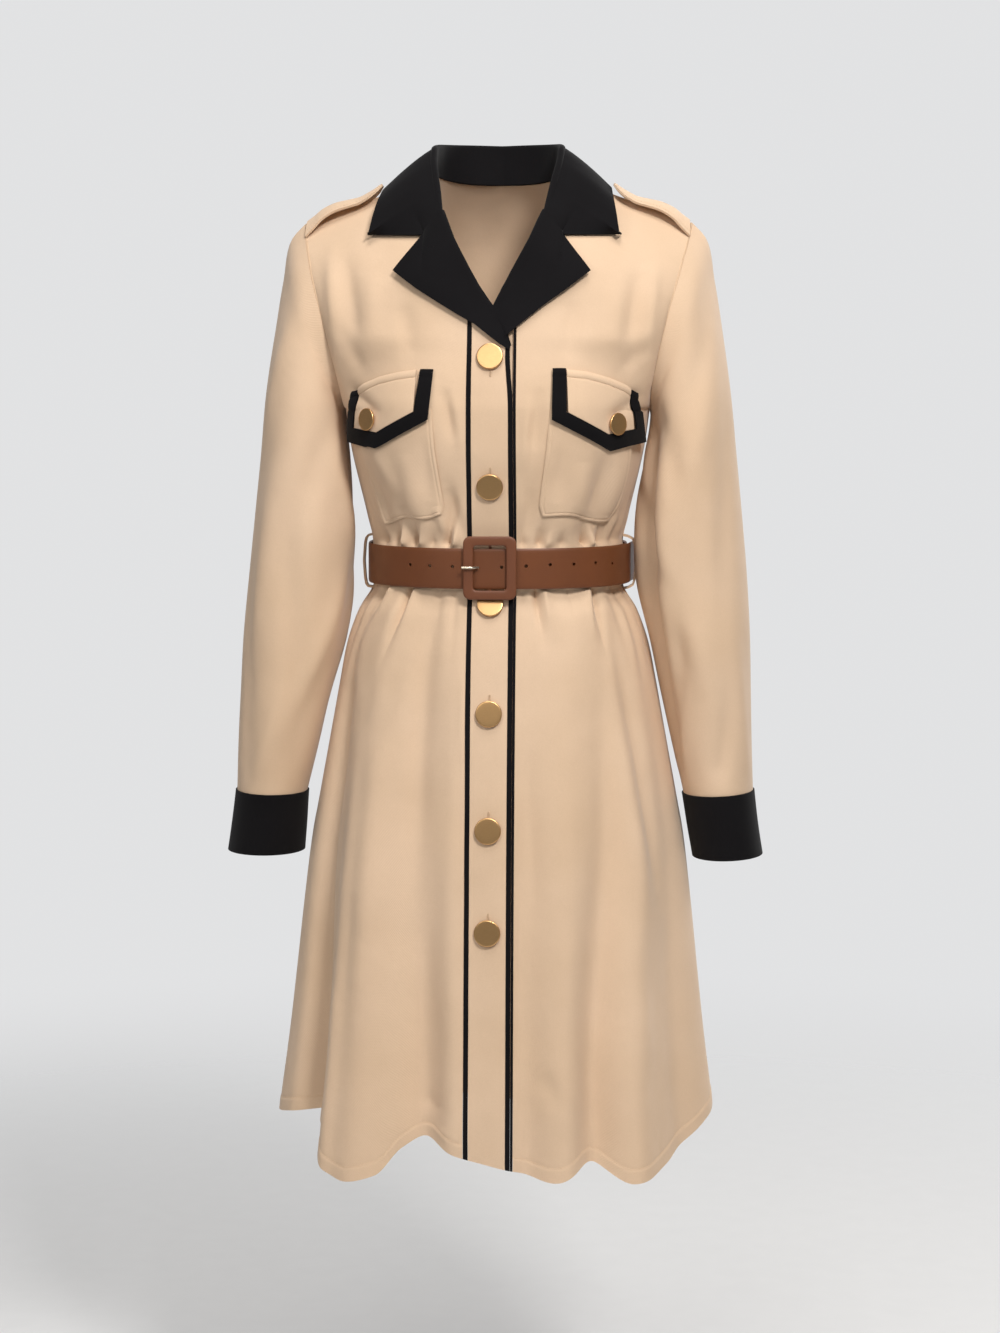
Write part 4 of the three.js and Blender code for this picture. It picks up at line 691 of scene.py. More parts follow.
def frontGrid(sign, inner):
    cols = frontCut["cols"]
    step = np.linspace(0, 1, cols + 1)
    rows = []
    for share in hemShares():
        z = np.full(cols + 1, float(frontCut["waistBreak"]))
        for _ in range(3):
            theta = blend(startAngle(inner, z), math.pi / 2, step)
            z = blend(frontCut["waistBreak"], smoothCurve(hemLine, "z", sign * np.degrees(theta), "at"), share)
        x = sideX(z, blend(startAngle(inner, z), math.pi / 2, step))
        x[0] = inner
        rows.append(hemPoint(sign * x, z, (1 - share) * frontCut["skirtLong"], "front"))
    for z in np.linspace(frontCut["waistBreak"], shoulder["underarmZ"], frontCut["bodiceRows"], endpoint=False):
        theta = blend(startAngle(inner, z), math.pi / 2, step)
        x = sideX(z, theta)
        x[0] = inner
        rows.append(clothPoint(sign * x, np.full(cols + 1, z)))
    for low, high in zip(*armholeRows()):
        turn = smoothCurve(rollLine, "x", low) + 2.6
        start = max(turn, inner) if low > -106 else inner
        if low > -8:
            start = max(start, shoulder["neckX"])
        theta = blend(startAngle(start, min(high, -110)), math.pi / 2, step)
        x = sideX(high, theta)
        share = (x - x[0]) / (x[-1] - x[0])
        x = blend(start, x[-1], share)
        rows.append(clothPoint(sign * x, blend(low, high, share)))
    grid = np.array(rows)
    side = grid[:, -1, 2] <= shoulder["underarmZ"] + 0.01
    grid[side, -1, 1] = -0.2
    grid[-1, :, 1] = -0.2
    return grid


def frontTurn(sign, grid):
    def turn(normal):
        seam = grid[:, -1, 2] <= shoulder["underarmZ"] + 0.01
        normal[:-1, 0, 0] = 0
        normal[seam, -1, 1] = 0
        normal[-1, :, 1] = 0
        normal[~seam, -1, 0] = sign * np.maximum(np.abs(normal[~seam, -1, 0]), 0.3)
        return normal
    return turn


def backGrid():
    cols = frontCut["cols"] * 2 // 3
    theta = np.radians(np.concatenate([np.linspace(90, 0, cols + 1), np.linspace(0, 90, cols + 1)[1:]]))
    sign = np.concatenate([-np.ones(cols), np.ones(cols + 1)])
    rows = []
    for share in hemShares():
        hem = smoothCurve(hemLine, "z", sign * (180 - np.degrees(theta)), "at")
        z = blend(frontCut["waistBreak"], hem, share)
        rows.append(hemPoint(sign * sideX(z, theta), z, (1 - share) * frontCut["skirtLong"], "back"))
    for z in np.linspace(frontCut["waistBreak"], shoulder["underarmZ"], frontCut["bodiceRows"], endpoint=False):
        rows.append(clothPoint(sign * sideX(z, theta), np.full(theta.shape, z), "back"))
    outer = armholeRows()[1]
    share = (outer - outer[0]) / (outer[-1] - outer[0])
    for k, high in enumerate(outer):
        x = sideX(high, theta)
        across = x / x.max()
        neck = np.where(x < shoulder["neckX"], blend(-12, shoulder["neckZ"], (x / shoulder["neckX"])**3),
                        roofHeight(x))
        top = blend(shoulder["underarmZ"], neck, share[k])
        edge = np.full(theta.shape, high)
        z = blend(top, edge, ease((across - 0.55) / 0.45))
        z = np.minimum(z, neck)
        if k == len(outer) - 1:
            z = neck
        rows.append(clothPoint(sign * x, z, "back"))
    grid = np.array(rows)
    seam = grid[:, 0, 2] <= shoulder["underarmZ"] + 0.01
    grid[seam, 0, 1] = 0.2
    grid[seam, -1, 1] = 0.2
    wide = np.abs(grid[-1, :, 0]) >= shoulder["neckX"]
    grid[-1, wide, 1] = 0.2
    return grid


def backTurn(grid):
    def turn(normal):
        seam = grid[:, 0, 2] <= shoulder["underarmZ"] + 0.01
        for column, sign in ((0, -1), (-1, 1)):
            normal[seam, column, 1] = 0
            normal[~seam, column, 0] = sign * np.maximum(np.abs(normal[~seam, column, 0]), 0.3)
        wide = np.abs(grid[-1, :, 0]) >= shoulder["neckX"]
        normal[-1, wide, 1] = 0
        return normal
    return turn


panels = {}
for name, node, sign, inner in (("frontRight", "front_right", -1, bandSize["half"] + bandSize["gap"]),
                                ("frontLeft", "front_left", 1,
                                 bandSize["half"] + bandSize["under"] + 2 * bandSize["gap"])):
    grid = frontGrid(sign, inner)
    panels[name] = grid
    piece = clothShell(name, grid, frontCut["thick"], tanTwill, flip=sign < 0, turn=frontTurn(sign, grid))
    finishPiece(piece, [node])
grid = backGrid()
piece = clothShell("backPanel", grid, frontCut["thick"], tanTwill, flip=True, turn=backTurn(grid))
finishPiece(piece, ["back"])
panels["back"] = grid
for side, sign in (("right", -1), ("left", 1)):
    front = panels["front" + side.capitalize()]
    keep = front[:, -1, 2] <= shoulder["underarmZ"] + 0.01
    line = front[keep, -1] * [1, 0, 1] - np.array([sign * 0.3, 0, 0])
    rideOnly(tubeAlong("sideSeam" + side.capitalize(), line, 0.45, seamThread))
    top = front[-1] * [1, 0, 1] - np.array([0, 0, 0.3])
    rideOnly(tubeAlong("shoulderSeam" + side.capitalize(), top, 0.45, seamThread))
hemLines = []
for grid in panels.values():
    lifted = grid[10] + outwardNormals(grid)[10] * 0.15
    hemLines.append(lifted)
sewLines("hemStitches", hemLines)
print("fronts and back made")

# ---- sleeves and cuffs: outer and inner silhouette, front to back size, lean forward
sleeveRings = {
    "right": [(199, -66, 148.2, -234, 122, 0), (208, -108, 148.4, -243, 124, -1), (216, -158, 147.6, -256, 126, -2),
              (223, -208, 145.5, -274, 126, -3), (229.5, -278, 143, -312, 124, -4), (235, -330, 142.5, -346, 121, -5),
              (241, -388, 144.5, -392, 116, -6), (247, -452, 153, -454, 110, -8), (249.5, -500, 163.5, -501, 102, -9),
              (252, -550, 174.5, -551, 94, -10), (253.5, -601, 187, -602, 84, -11)],
    "left": [(199, -66, 148.2, -234, 122, 0), (208, -108, 148.4, -243, 124, -1), (216, -158, 147.6, -256, 126, -2),
             (223, -208, 144.5, -274, 126, -3), (230, -278, 139, -312, 124, -4), (235, -330, 137.5, -346, 121, -5),
             (240, -388, 139.5, -392, 116, -6), (243.5, -452, 153.5, -454, 110, -8), (244.5, -500, 162, -501, 102, -9),
             (245.5, -550, 171.5, -551, 94, -10), (247, -597, 181.5, -600, 84, -11)],
}
cuffRings = {
    "right": [(253.8, -601.4, 186.7, -602.4, 84.6, -11), (258, -632, 188, -633, 86, -12),
              (261.5, -660, 190.5, -660, 86, -13)],
    "left": [(247.3, -597.4, 181.2, -600.4, 84.6, -11), (251.5, -630, 186, -633, 86, -12),
             (255.5, -659, 191.5, -661, 86, -13)],
}
# place round the sleeve in degrees (0 outer, negative front), height, slant, length, depth, width in degrees
sleeveCreases = {
    "right": [(-70, -170, 40, 130, 2.6, 14), (-120, -250, -30, 110, 3.2, 12), (-100, -300, 35, 120, -2.6, 14),
              (-150, -330, -50, 90, 3.6, 14), (-60, -360, 20, 170, 2.4, 14), (-95, -430, -25, 150, -2.6, 14),
              (-125, -470, 35, 110, 3, 12), (-45, -480, -20, 160, -2, 14), (-85, -545, 18, 90, 2.4, 12),
              (160, -420, 40, 120, 3.6, 16), (110, -260, -35, 140, 3.4, 15), (70, -380, 30, 160, 2.8, 16),
              (120, -500, -30, 130, -2.8, 14), (60, -170, 35, 110, 2.6, 14), (-146, -420, 6, 260, 2.2, 18)],
    "left": [(-75, -180, -40, 120, -2.8, 14), (-115, -240, 30, 120, -3, 12), (-95, -310, -30, 130, 2.4, 14),
             (-145, -350, 50, 90, -3.8, 14), (-55, -340, -18, 180, -2.2, 14), (-100, -440, 28, 130, 2.8, 14),
             (-128, -500, -35, 110, -3.2, 12), (-50, -500, 22, 140, 1.8, 14), (-80, -560, -18, 80, -2.6, 12),
             (176, -410, -10, 230, 3.6, 28), (105, -280, 35, 140, -3.2, 15), (75, -400, -30, 150, -3, 16),
             (125, -520, 30, 120, 2.6, 14), (65, -180, -35, 110, -2.4, 14), (-145, -380, -20, 290, -7.5, 16),
             (-119, -370, -25, 290, 3.4, 11)],
}
sleeveCut = {"rows": 130, "thick": 0.9, "gapOut": 0.55, "gapDown": 0.4}


def armholeLoop():
    outer = armholeRows()[1]
    z = np.concatenate([outer, outer[1:-1][::-1]])
    way = np.concatenate([-np.ones(len(outer)), np.ones(len(outer) - 2)])
    x = smoothCurve(dressBody, "half", z)
    return np.stack([x, way * armholeDepth(z) * rollOff(roofHeight(x) - z), z], -1)


def ringPoints(ring, count, sign, loop=None, amount=1.0):
    outX, outZ, inX, inZ, deep, lean = ring
    angle = math.pi - np.arange(count) / count * 2 * math.pi
    share = (1 + np.cos(angle)) / 2
    y = -np.sin(angle) * deep / 2
    if loop is not None:
        under = shoulder["underarmZ"]
        share = blend((loop[:, 2] - under) / (shoulder["tipZ"] - under), share, amount)
        y = blend(loop[:, 1], y, amount)
    return np.stack([sign * blend(inX, outX, share), y + lean, blend(inZ, outZ, share)], -1)


def throughRings(rings, rows):
    rings = np.array(rings)
    long = np.concatenate([[0], np.cumsum(np.linalg.norm(np.diff(rings, axis=0), axis=-1).mean(1))])
    at = np.linspace(0, long[-1], rows)
    i = np.clip(np.searchsorted(long, at, side="right") - 1, 0, len(long) - 2)
    slope = np.gradient(rings, long, axis=0)
    step = (long[i + 1] - long[i])[:, None, None]
    t = ((at - long[i])[:, None, None]) / step
    return ((2 * t**3 - 3 * t**2 + 1) * rings[i] + (t**3 - 2 * t**2 + t) * step * slope[i]
            + (3 * t**2 - 2 * t**3) * rings[i + 1] + (t**3 - t**2) * step * slope[i + 1])


def tubeAngles(grid, sign):
    middle = grid.mean(1, keepdims=True)
    off = grid - middle
    return np.degrees(np.arctan2(off[..., 1], off[..., 0] * sign))


def creaseTube(grid, sign, creases, hold):
    normal = gridNormals(grid, True) * sign
    at = tubeAngles(grid, sign)
    z = grid[..., 2]
    push = np.zeros(z.shape)
    for centre, height, slant, length, deep, wide in creases:
        down = (height - z) / length
        place = centre + slant * down
        push += deep * np.exp(-(down * 1.6)**2) * np.exp(-(apart(at, place) / wide)**2)
    fade = ease(np.linspace(0, 1, len(grid)) * 6)[:, None] * ease((1 - np.linspace(0, 1, len(grid))) * 14)[:, None]
    return grid - normal * (push * fade * hold)[..., None]


for side, sign in (("right", -1), ("left", 1)):
    loop = armholeLoop()
    count = len(loop)
    first = np.stack([sign * (loop[:, 0] + sleeveCut["gapOut"]), loop[:, 1], loop[:, 2] - sleeveCut["gapDown"]], -1)
    rings = [first]
    for k, ring in enumerate(sleeveRings[side]):
        rings.append(ringPoints(ring, count, sign, loop, float(ease((k + 0.6) / 3.6))))
    grid = creaseTube(throughRings(rings, sleeveCut["rows"]), sign, sleeveCreases[side], 1.45)

    def sleeveTurn(normal, sign=sign):
        normal[0, :, 0] = sign * np.minimum(sign * normal[0, :, 0], 0.1)
        return normal

    seam = np.stack([sign * (loop[:, 0] + 0.1), loop[:, 1], loop[:, 2] + 0.1], -1)
    rideOnly(tubeAlong("armholeSeam" + side.capitalize(), seam, 0.75, seamThread, closed=True))
    piece = clothShell("sleeve" + side.capitalize(), grid, sleeveCut["thick"], tanTwill, flip=sign < 0, closed=True,
                       turn=sleeveTurn)
    finishPiece(piece, ["sleeve_" + side])
    cuff = throughRings([ringPoints(ring, 96, sign) for ring in cuffRings[side]], 26)
    rim = np.linspace(0, 1, 26)[:, None, None]
    cuff = cuff + gridNormals(cuff, True) * sign * (0.5 * np.sin(rim * math.pi) - 0.3)
    piece = clothShell("cuff" + side.capitalize(), cuff, 1.8, blackTwill, flip=sign < 0, closed=True)
    finishPiece(piece, ["cuff_" + side])
print("sleeves and cuffs made")

# ---- button band with its piping
bandCut = {"thick": 0.9, "rows": 200, "pipingRise": 0.3, "pipingThick": 1.3, "underOut": -3.0}


def lapEdge(z):
    return np.where(z > -230, blend(18.5, bandSize["half"], ease((-176 - z) / 54)), bandSize["half"])


def hemUnder(x):
    return float(smoothCurve(hemLine, "z", angleOf(np.asarray(float(x)), -925.0, "front"), "at"))


def bandGrid(leftEdge, rightEdge, out, cols):
    leftX, leftZ = leftEdge
    rightX, rightZ = rightEdge
    share = np.linspace(0, 1, cols + 1)
    x = blend(leftX[:, None], rightX[:, None], share[None])
    z = blend(leftZ[:, None], rightZ[:, None], share[None])
    return layPoint(x, z, np.full(x.shape, float(out)))


def edgeDown(x, top, head=()):
    z = np.linspace(top, hemUnder(x), bandCut["rows"])
    xs = np.full(z.shape, float(x))
    if len(head):
        extra = np.array(head, float)
        xs = np.concatenate([extra[:, 0], xs])
        z = np.concatenate([extra[:, 1], z])
    return xs, z


def levelTurn(normal):
    normal[..., 0] = 0
    return normal


def addBand(name, node, leftEdge, rightEdge, out, cols, thick, material):
    grid = bandGrid(leftEdge, rightEdge, out, cols)
    piece = clothShell(name, grid, thick, material, flip=True, turn=levelTurn)
    finishPiece(piece, [node])
    return piece


innerBand = bandSize["half"] - bandSize["piping"] - bandSize["gap"]
half, piping, gap = bandSize["half"], bandSize["piping"], bandSize["gap"]
leftX, leftZ = edgeDown(-innerBand, -180, [(-innerBand, -114), (-innerBand, -145), (-innerBand, -162)])
rightZ = np.concatenate([[-142, -156, -169], edgeDown(innerBand, -180)[1]])
rightX = np.concatenate([[1, 8, 14.5], lapEdge(rightZ[3:]) - piping - gap])
addBand("bandTop", "placket_right", (leftX, leftZ), (rightX, rightZ), 0, 12, bandCut["thick"], tanTwill)
addBand("pipingRightSeam", "piping_right_seam", edgeDown(-half, -110, [(-half, -108)]),
        edgeDown(-half + piping, -113, [(-half + piping, -111)]), 0.3, 3, bandCut["pipingThick"], blackTwill)
z = edgeDown(half, -169.5)[1]
addBand("pipingLapEdge", "piping_right_edge", (lapEdge(z) - piping, edgeDown(half - piping, -166)[1]), (lapEdge(z), z),
        0.25, 3, bandCut["pipingThick"], blackTwill)
addBand("pipingLeftSeam", "piping_left_seam", edgeDown(half + gap, -112, [(half + gap, -108)]),
        edgeDown(half + gap + bandSize["under"], -108, [(half + gap + bandSize["under"], -104)]), 0.3, 3,
        bandCut["pipingThick"],
        blackTwill)
addBand("bandUnder", "placket_left", edgeDown(-12, -176, [(4, -141), (-6, -156)]),
        edgeDown(half - 0.5, -150, [(half - 0.5, -112), (half - 0.5, -130)]), bandCut["underOut"], 8,
        bandCut["thick"], tanTwill)
print("button band made")

# ---- lapels and collar
lapelEdges = {
    "right": [(18.5, -170.5, 17.4, -173.5, 1.5), (14.2, -162, 9, -168.4, 2.2), (9.5, -153, -0.5, -161.6, 3.2), (1.5, -138, -15, -150, 3.8),
              (-7, -126, -31, -141, 4.2), (-14.5, -115, -49, -130, 4.6),
              (-23, -100, -68, -118, 5), (-31, -85, -91, -101.5, 5.4), (-39, -70, -79, -86, 4.4), (-49, -45, -64.5, -67.5, 3.4)],
    "left": [(2.5, -138.5, 13.5, -162.5, 1.6), (5, -133.8, 16.3, -159.8, 2.9), (12, -119, 21, -156, 3.4),
             (16.5, -111.5, 32, -147, 3.8), (21, -103.5, 49, -133, 4.4),
             (26, -94.5, 68, -119, 5), (31, -85, 91, -101.5, 5.4), (39, -70, 78, -85, 4.4),
             (49, -45, 64.5, -67.5, 3.4)],
}
lapelCut = {"radius": 3.2, "thick": 1.3, "rowsBetween": 9, "turnSteps": 9, "faceSteps": 26}


def denser(rows, parts):
    rows = np.array(rows, float)
    at = np.arange(len(rows))
    fine = np.linspace(0, len(rows) - 1, (len(rows) - 1) * parts + 1)
    return np.stack([np.interp(fine, at, rows[:, k]) for k in range(rows.shape[1])], 1)


def lapelGrid(rows):
    x, z, edgeX, edgeZ, lift = denser(rows, lapelCut["rowsBetween"]).T
    dx, dz = edgeX - x, edgeZ - z
    long = np.maximum(np.hypot(dx, dz), 1e-6)
    radius = lapelCut["radius"] * np.clip(long / 11, 0.3, 1)  # the fold is pressed flatter towards its lower tip
    points = []
    for degrees in np.linspace(-12, 90, lapelCut["turnSteps"]):
        a = math.radians(degrees)
        along = -math.cos(a) * radius * 0.9 / long
        points.append(layPoint(x + dx * along, z + dz * along, -0.75 + math.sin(a) * radius))
    wave = np.sin(np.linspace(0, 9, len(x))) * 0.5
    for share in np.linspace(0, 1, lapelCut["faceSteps"] + 1)[1:]:
        rise = -0.75 + radius + (lift - 2.4 * radius / lapelCut["radius"] + wave * radius / 3.2) * ease(share)
        points.append(layPoint(x + dx * share, z + dz * share, rise))
    return np.array(points).transpose(1, 0, 2)


for side, sign in (("right", -1), ("left", 1)):
    piece = clothShell("lapel" + side.capitalize(), lapelGrid(lapelEdges[side]), lapelCut["thick"], blackTwill,
                       flip=sign > 0)
    finishPiece(piece, ["lapel_" + side])

# neck seam, top of the fold and outer edge, from centre back to the front, then lift over the shoulder
collarStations = {
    "seamX": [0, 26, 45, 55, 60.3, 59.2, 57.2, 54.5], "seamY": [59.5, 53.5, 40, 25, 2, -15, -30, -44],
    "seamZ": [-11.5, -11, -9, -7.2, -5.3, -8, -14.5, -26.5],
    "topX": [0, 28, 47, 58, 61.5, 60.5, 57.5, 54], "topY": [66, 60, 45.5, 26, 3, -16, -33, -49.5],
    "topZ": [27, 27.5, 27, 26, 23, 11, -4, -21],
    "edgeX": [0, 49, 86, 104, 109, 112, 115.5, 119], "edgeY": [106, 100, 76, 38, 3, -28, -47, -63],
    "edgeZ": [-28, -28, -27, -22, -17, -27, -43, -64], "lift": [8, 8, 8, 7, 5, 4, 3, 2.5],
}
gorge = {"x": 49.4, "z": -44.7, "edgeX": 64.9, "edgeZ": -67.2, "lift": 3.4, "pointX": 120, "pointZ": -66.5}
collarCut = {"radius": 3.4, "thick": 1.4, "stations": 60}


def collarHalf():
    at = np.linspace(0, 7, collarCut["stations"])
    keys = {"at": list(range(8)), **collarStations}
    get = {name: smoothCurve(keys, name, at, "at") for name in collarStations}
    seam = np.stack([get["seamX"], get["seamY"], get["seamZ"]], -1)
    edge = np.stack([get["edgeX"], get["edgeY"], get["edgeZ"]], -1)
    radius = collarCut["radius"]
    centre = np.stack([get["topX"], get["topY"], get["topZ"] - radius], -1)
    away = (edge - centre) * [1, 1, 0]
    away /= np.linalg.norm(away, axis=-1, keepdims=True)
    inner = centre - away * radius
    points = [blend(seam, inner, t) for t in np.linspace(0, 1, 10)]
    up = np.array([0, 0, 1.0])
    for degrees in np.linspace(0, 180, 13)[1:]:
        a = math.radians(degrees)
        points.append(centre - away * math.cos(a) * radius + up * math.sin(a) * radius)
    start = centre + away * radius
    control = blend(start, edge, 0.42) + get["lift"][:, None] * up
    for t in np.linspace(0, 1, 27)[1:]:
        points.append(blend(blend(start, control, t), blend(control, edge, t), t))
    half = np.array(points).transpose(1, 0, 2)
    dx, dz = gorge["edgeX"] - gorge["x"], gorge["edgeZ"] - gorge["z"]
    long = math.hypot(dx, dz)
    last = []
    for degrees in np.concatenate([np.linspace(-34, -10, 10), np.linspace(-8, 90, 12)]):
        a = math.radians(degrees)
        along = -math.cos(a) * lapelCut["radius"] * 0.9 / long
        last.append(layPoint(gorge["x"] + dx * along, gorge["z"] + dz * along,
                             -0.75 + math.sin(a) * lapelCut["radius"]))
    base = -0.75 + lapelCut["radius"]
    for t in np.linspace(0, 1, 27)[1:]:
        if t < 0.45:
            s = t / 0.45
            last.append(layPoint(gorge["x"] + dx * s, gorge["z"] + dz * s, base + (gorge["lift"] - 2.4) * s))
        else:
            s = (t - 0.45) / 0.55
            last.append(layPoint(blend(gorge["edgeX"], gorge["pointX"], s), blend(gorge["edgeZ"], gorge["pointZ"], s),
                                 base + blend(1.0, 0.2, s)))
    last = np.array(last)
    tail = [blend(half[-1], last, t) for t in np.linspace(0, 1, 14)[1:]]
    return np.concatenate([half, np.array(tail)])


half = collarHalf()
mirrored = half * [-1, 1, 1]
grid = np.concatenate([mirrored[:0:-1], half])
piece = clothShell("collarFall", grid, collarCut["thick"], blackTwill, flip=True)
finishPiece(piece, ["collar"])
print("collar and lapels made")

# ---- pockets and flaps
pocketEdges = {
    "right": [(-53, -228, -128, -243), (-50.5, -268, -124, -275), (-47, -296, -117, -300),
              (-44.5, -318, -110, -322), (-46, -327, -105, -337)],
    "left": [(55.5, -228, 131, -243), (52, -268, 128, -275), (48.5, -296, 123, -300),
             (46, -318, 118.5, -320), (48.5, -327, 112, -335)],
}
flapEdges = {
    "right": [(-51.6, -193, -54.8, -238), (-66, -193, -66, -245), (-84, -195.5, -85, -256),
              (-102, -199.5, -103, -265.5), (-119, -206, -120, -263), (-133, -213.5, -134.5, -259.5)],
    "left": [(57.4, -192, 56.6, -238), (70, -193, 69, -245.5), (88, -195, 87, -256.5),
             (105, -199.5, 106, -267), (122, -206, 123, -264), (136, -213.5, 138, -260)],
}
pocketCut = {"out": 1.75, "thick": 0.9, "flapTop": 2.0, "flapOut": 4.6, "flapThick": 1.3, "bind": 11.5,
             "bindRise": 0.4, "bindThick": 1.6, "wave": 1.2, "stitchIn": 2.7, "flapStitch": 6.6}


def layRows(first, second, shares):
    share = np.asarray(shares)[None]
    x = blend(first[:, :1], second[:, :1], share)
    z = blend(first[:, 1:2], second[:, 1:2], share)
    out = blend(first[:, 2:3], second[:, 2:3], share)
    return x, z, out


def rowsAt(rows, at):
    rows = np.array(rows, float)
    keys = np.arange(len(rows))
    return np.stack([np.interp(at, keys, rows[:, k]) for k in range(rows.shape[1])], 1)


def sewnEdge(far):
    """How far the cloth stands off beside a sewn edge: rounded at the very edge, pressed in under the stitches."""
    return -0.9 * np.exp(-(far / 0.7)**2) - 0.55 * np.exp(-((far - pocketCut["stitchIn"]) / 0.85)**2)


def flapRelief(down):
    """From the folded top edge downwards: a soft roll, then the stitch groove."""
    return (-0.9 * np.exp(-(down / 0.9)**2) + 0.7 * np.exp(-((down - 3.2) / 2.2)**2)
            - 0.75 * np.exp(-((down - pocketCut["flapStitch"]) / 1.0)**2))


pocketStitch, flapStitch = [], []
for side, sign in (("right", -1), ("left", 1)):
    downAt = np.concatenate([np.linspace(0, 3.4, 50), np.linspace(3.4, 4, 22)[1:]])
    rows = rowsAt(pocketEdges[side], downAt)
    flat = np.full((len(rows), 1), pocketCut["out"])
    shares = np.concatenate([np.linspace(0, 0.07, 9), np.linspace(0.07, 0.93, 40)[1:-1], np.linspace(0.93, 1, 9)])
    x, z, out = layRows(np.hstack([rows[:, :2], flat]), np.hstack([rows[:, 2:], flat]), shares)
    across, down = shares[None], (downAt / 4)[:, None]
    z = z - pocketCut["wave"] * np.sin(across * 7.5 + 1 + sign) * down**4 * 1.6  # the bottom edge isn't quite straight
    far = np.minimum(np.minimum(across, 1 - across) * 72, (z[-1:] - z) * -1)
    out = out + 0.9 * np.sin(across * math.pi)**2 * np.sin(down * math.pi)
    out = out + 0.5 * np.sin(across * 11 + down * 5) * down * np.sin(across * math.pi) + sewnEdge(far)
    out = out - 0.7 * ease((0.16 - down) / 0.1)  # pressed flat where the flap covers it
    piece = clothShell("pocket" + side.capitalize(), layPoint(x, z, out), pocketCut["thick"], tanTwill, flip=sign < 0)
    finishPiece(piece, ["pocket_" + side])
    inner, outer = int(np.argmin(abs(shares * 72 - 2.7))), int(np.argmin(abs((1 - shares) * 72 - 2.7)))
    low = int(np.argmin(abs((z[:, 20] - z[-1, 20]) - 2.7)))
    on = layPoint(x, z, out + 0.12)
    pocketStitch.append(np.concatenate([on[14:low, inner], on[low, inner:outer], on[14:low, outer][::-1]]))

    rows = flapEdges[side]
    a, b, c = rows[0], rows[3], rows[5]
    wide, top, low = pocketCut["bind"], pocketCut["flapTop"], pocketCut["flapOut"]
    path = [(a[0], a[1], a[0] + sign * wide, a[1], top), (a[2], a[3], a[2] + sign * wide, a[3] + 7, low),
            (b[2], b[3], b[2] - sign * 2, b[3] + 15, low), (c[2], c[3], c[2] - sign * 8, c[3] + 12.5, low),
            (c[0], c[1], c[0] - sign * 7.5, c[1] + 3, top)]
    topX = np.array([row[0] for row in rows]) * sign
    topZ = np.array([row[1] for row in rows])
    strip = denser(path, 22)
    rise = strip[:, 4:5] + pocketCut["bindRise"]
    x, z, out = layRows(np.hstack([strip[:, :2], rise]), np.hstack([strip[:, 2:4], rise]), np.linspace(0, 1, 9))
    across = np.linspace(0, 1, 9)[None]
    fromTop = np.interp(x * sign, topX, topZ) - z
    out = out + 0.35 * np.sin(across * math.pi) + flapRelief(np.maximum(fromTop, 0)) * 0.8
    piece = clothShell("flapBinding" + side.capitalize(), layPoint(x, z, out), pocketCut["bindThick"], blackTwill,
                       flip=sign < 0)
    finishPiece(piece, ["flap_binding_" + side])
    lowX = np.array([p[2] for p in path[1:4]]) * sign
    lowZ = np.array([p[3] for p in path[1:4]]) + 0.5
    x = np.linspace(max(path[0][2] * sign, path[1][2] * sign) + 0.6, min(path[3][2] * sign, path[4][2] * sign) - 0.7, 48)
    flapTop = np.stack([x * sign, np.interp(x, topX, topZ), np.full(48, top)], 1)
    flapLow = np.stack([x * sign, np.interp(x, lowX, lowZ), np.full(48, low)], 1)
    shares = np.concatenate([np.linspace(0, 0.26, 18), np.linspace(0.26, 1, 20)[1:]])
    x, z, out = layRows(flapTop, flapLow, shares)
    out = out + flapRelief(flapTop[:, 1:2] - z)
    piece = clothShell("flap" + side.capitalize(), layPoint(x, z, out), pocketCut["flapThick"], tanTwill,
                       flip=sign > 0)
    finishPiece(piece, ["flap_" + side])
    x = np.linspace(a[0] * sign + 1, c[0] * sign - 1.5, 60)
    lift = np.full(60, top + 0.45)
    inside = (x > a[0] * sign + wide) & (x < c[0] * sign - 7.5)
    lift[inside] = top - 0.15
    slope = (low - top) * pocketCut["flapStitch"] / 50
    flapStitch.append(np.stack([x * sign, np.interp(x, topX, topZ) - pocketCut["flapStitch"], lift + slope], 1))
sewLines("pocketStitches", pocketStitch)
sewOnFront("flapStitches", flapStitch, 0)
print("pockets and flaps made")

# ---- metal buttons, each turned to face out from the cloth
buttonSet = {
    "radius": 12.4, "flapRadius": 10.6, "high": 3.0, "sides": 64,
    "down": [(-180, 0.8), (-301, 0.8), (-412, 1.6), (-512.5, 0.8), (-620.5, 0.8), (-715, 0.8)],
    "flap": {"right": (-109, -239, 6.65), "left": (111, -243, 7.0)},
    "profile": [(0, 0), (0.8, 0), (0.93, 0.12), (1.0, 0.42), (1.0, 0.68), (0.99, 0.84), (0.965, 0.95), (0.93, 0.99),
                (0.88, 1.0), (0.6, 1.005), (0.3, 1.01), (0, 1.01)],
}


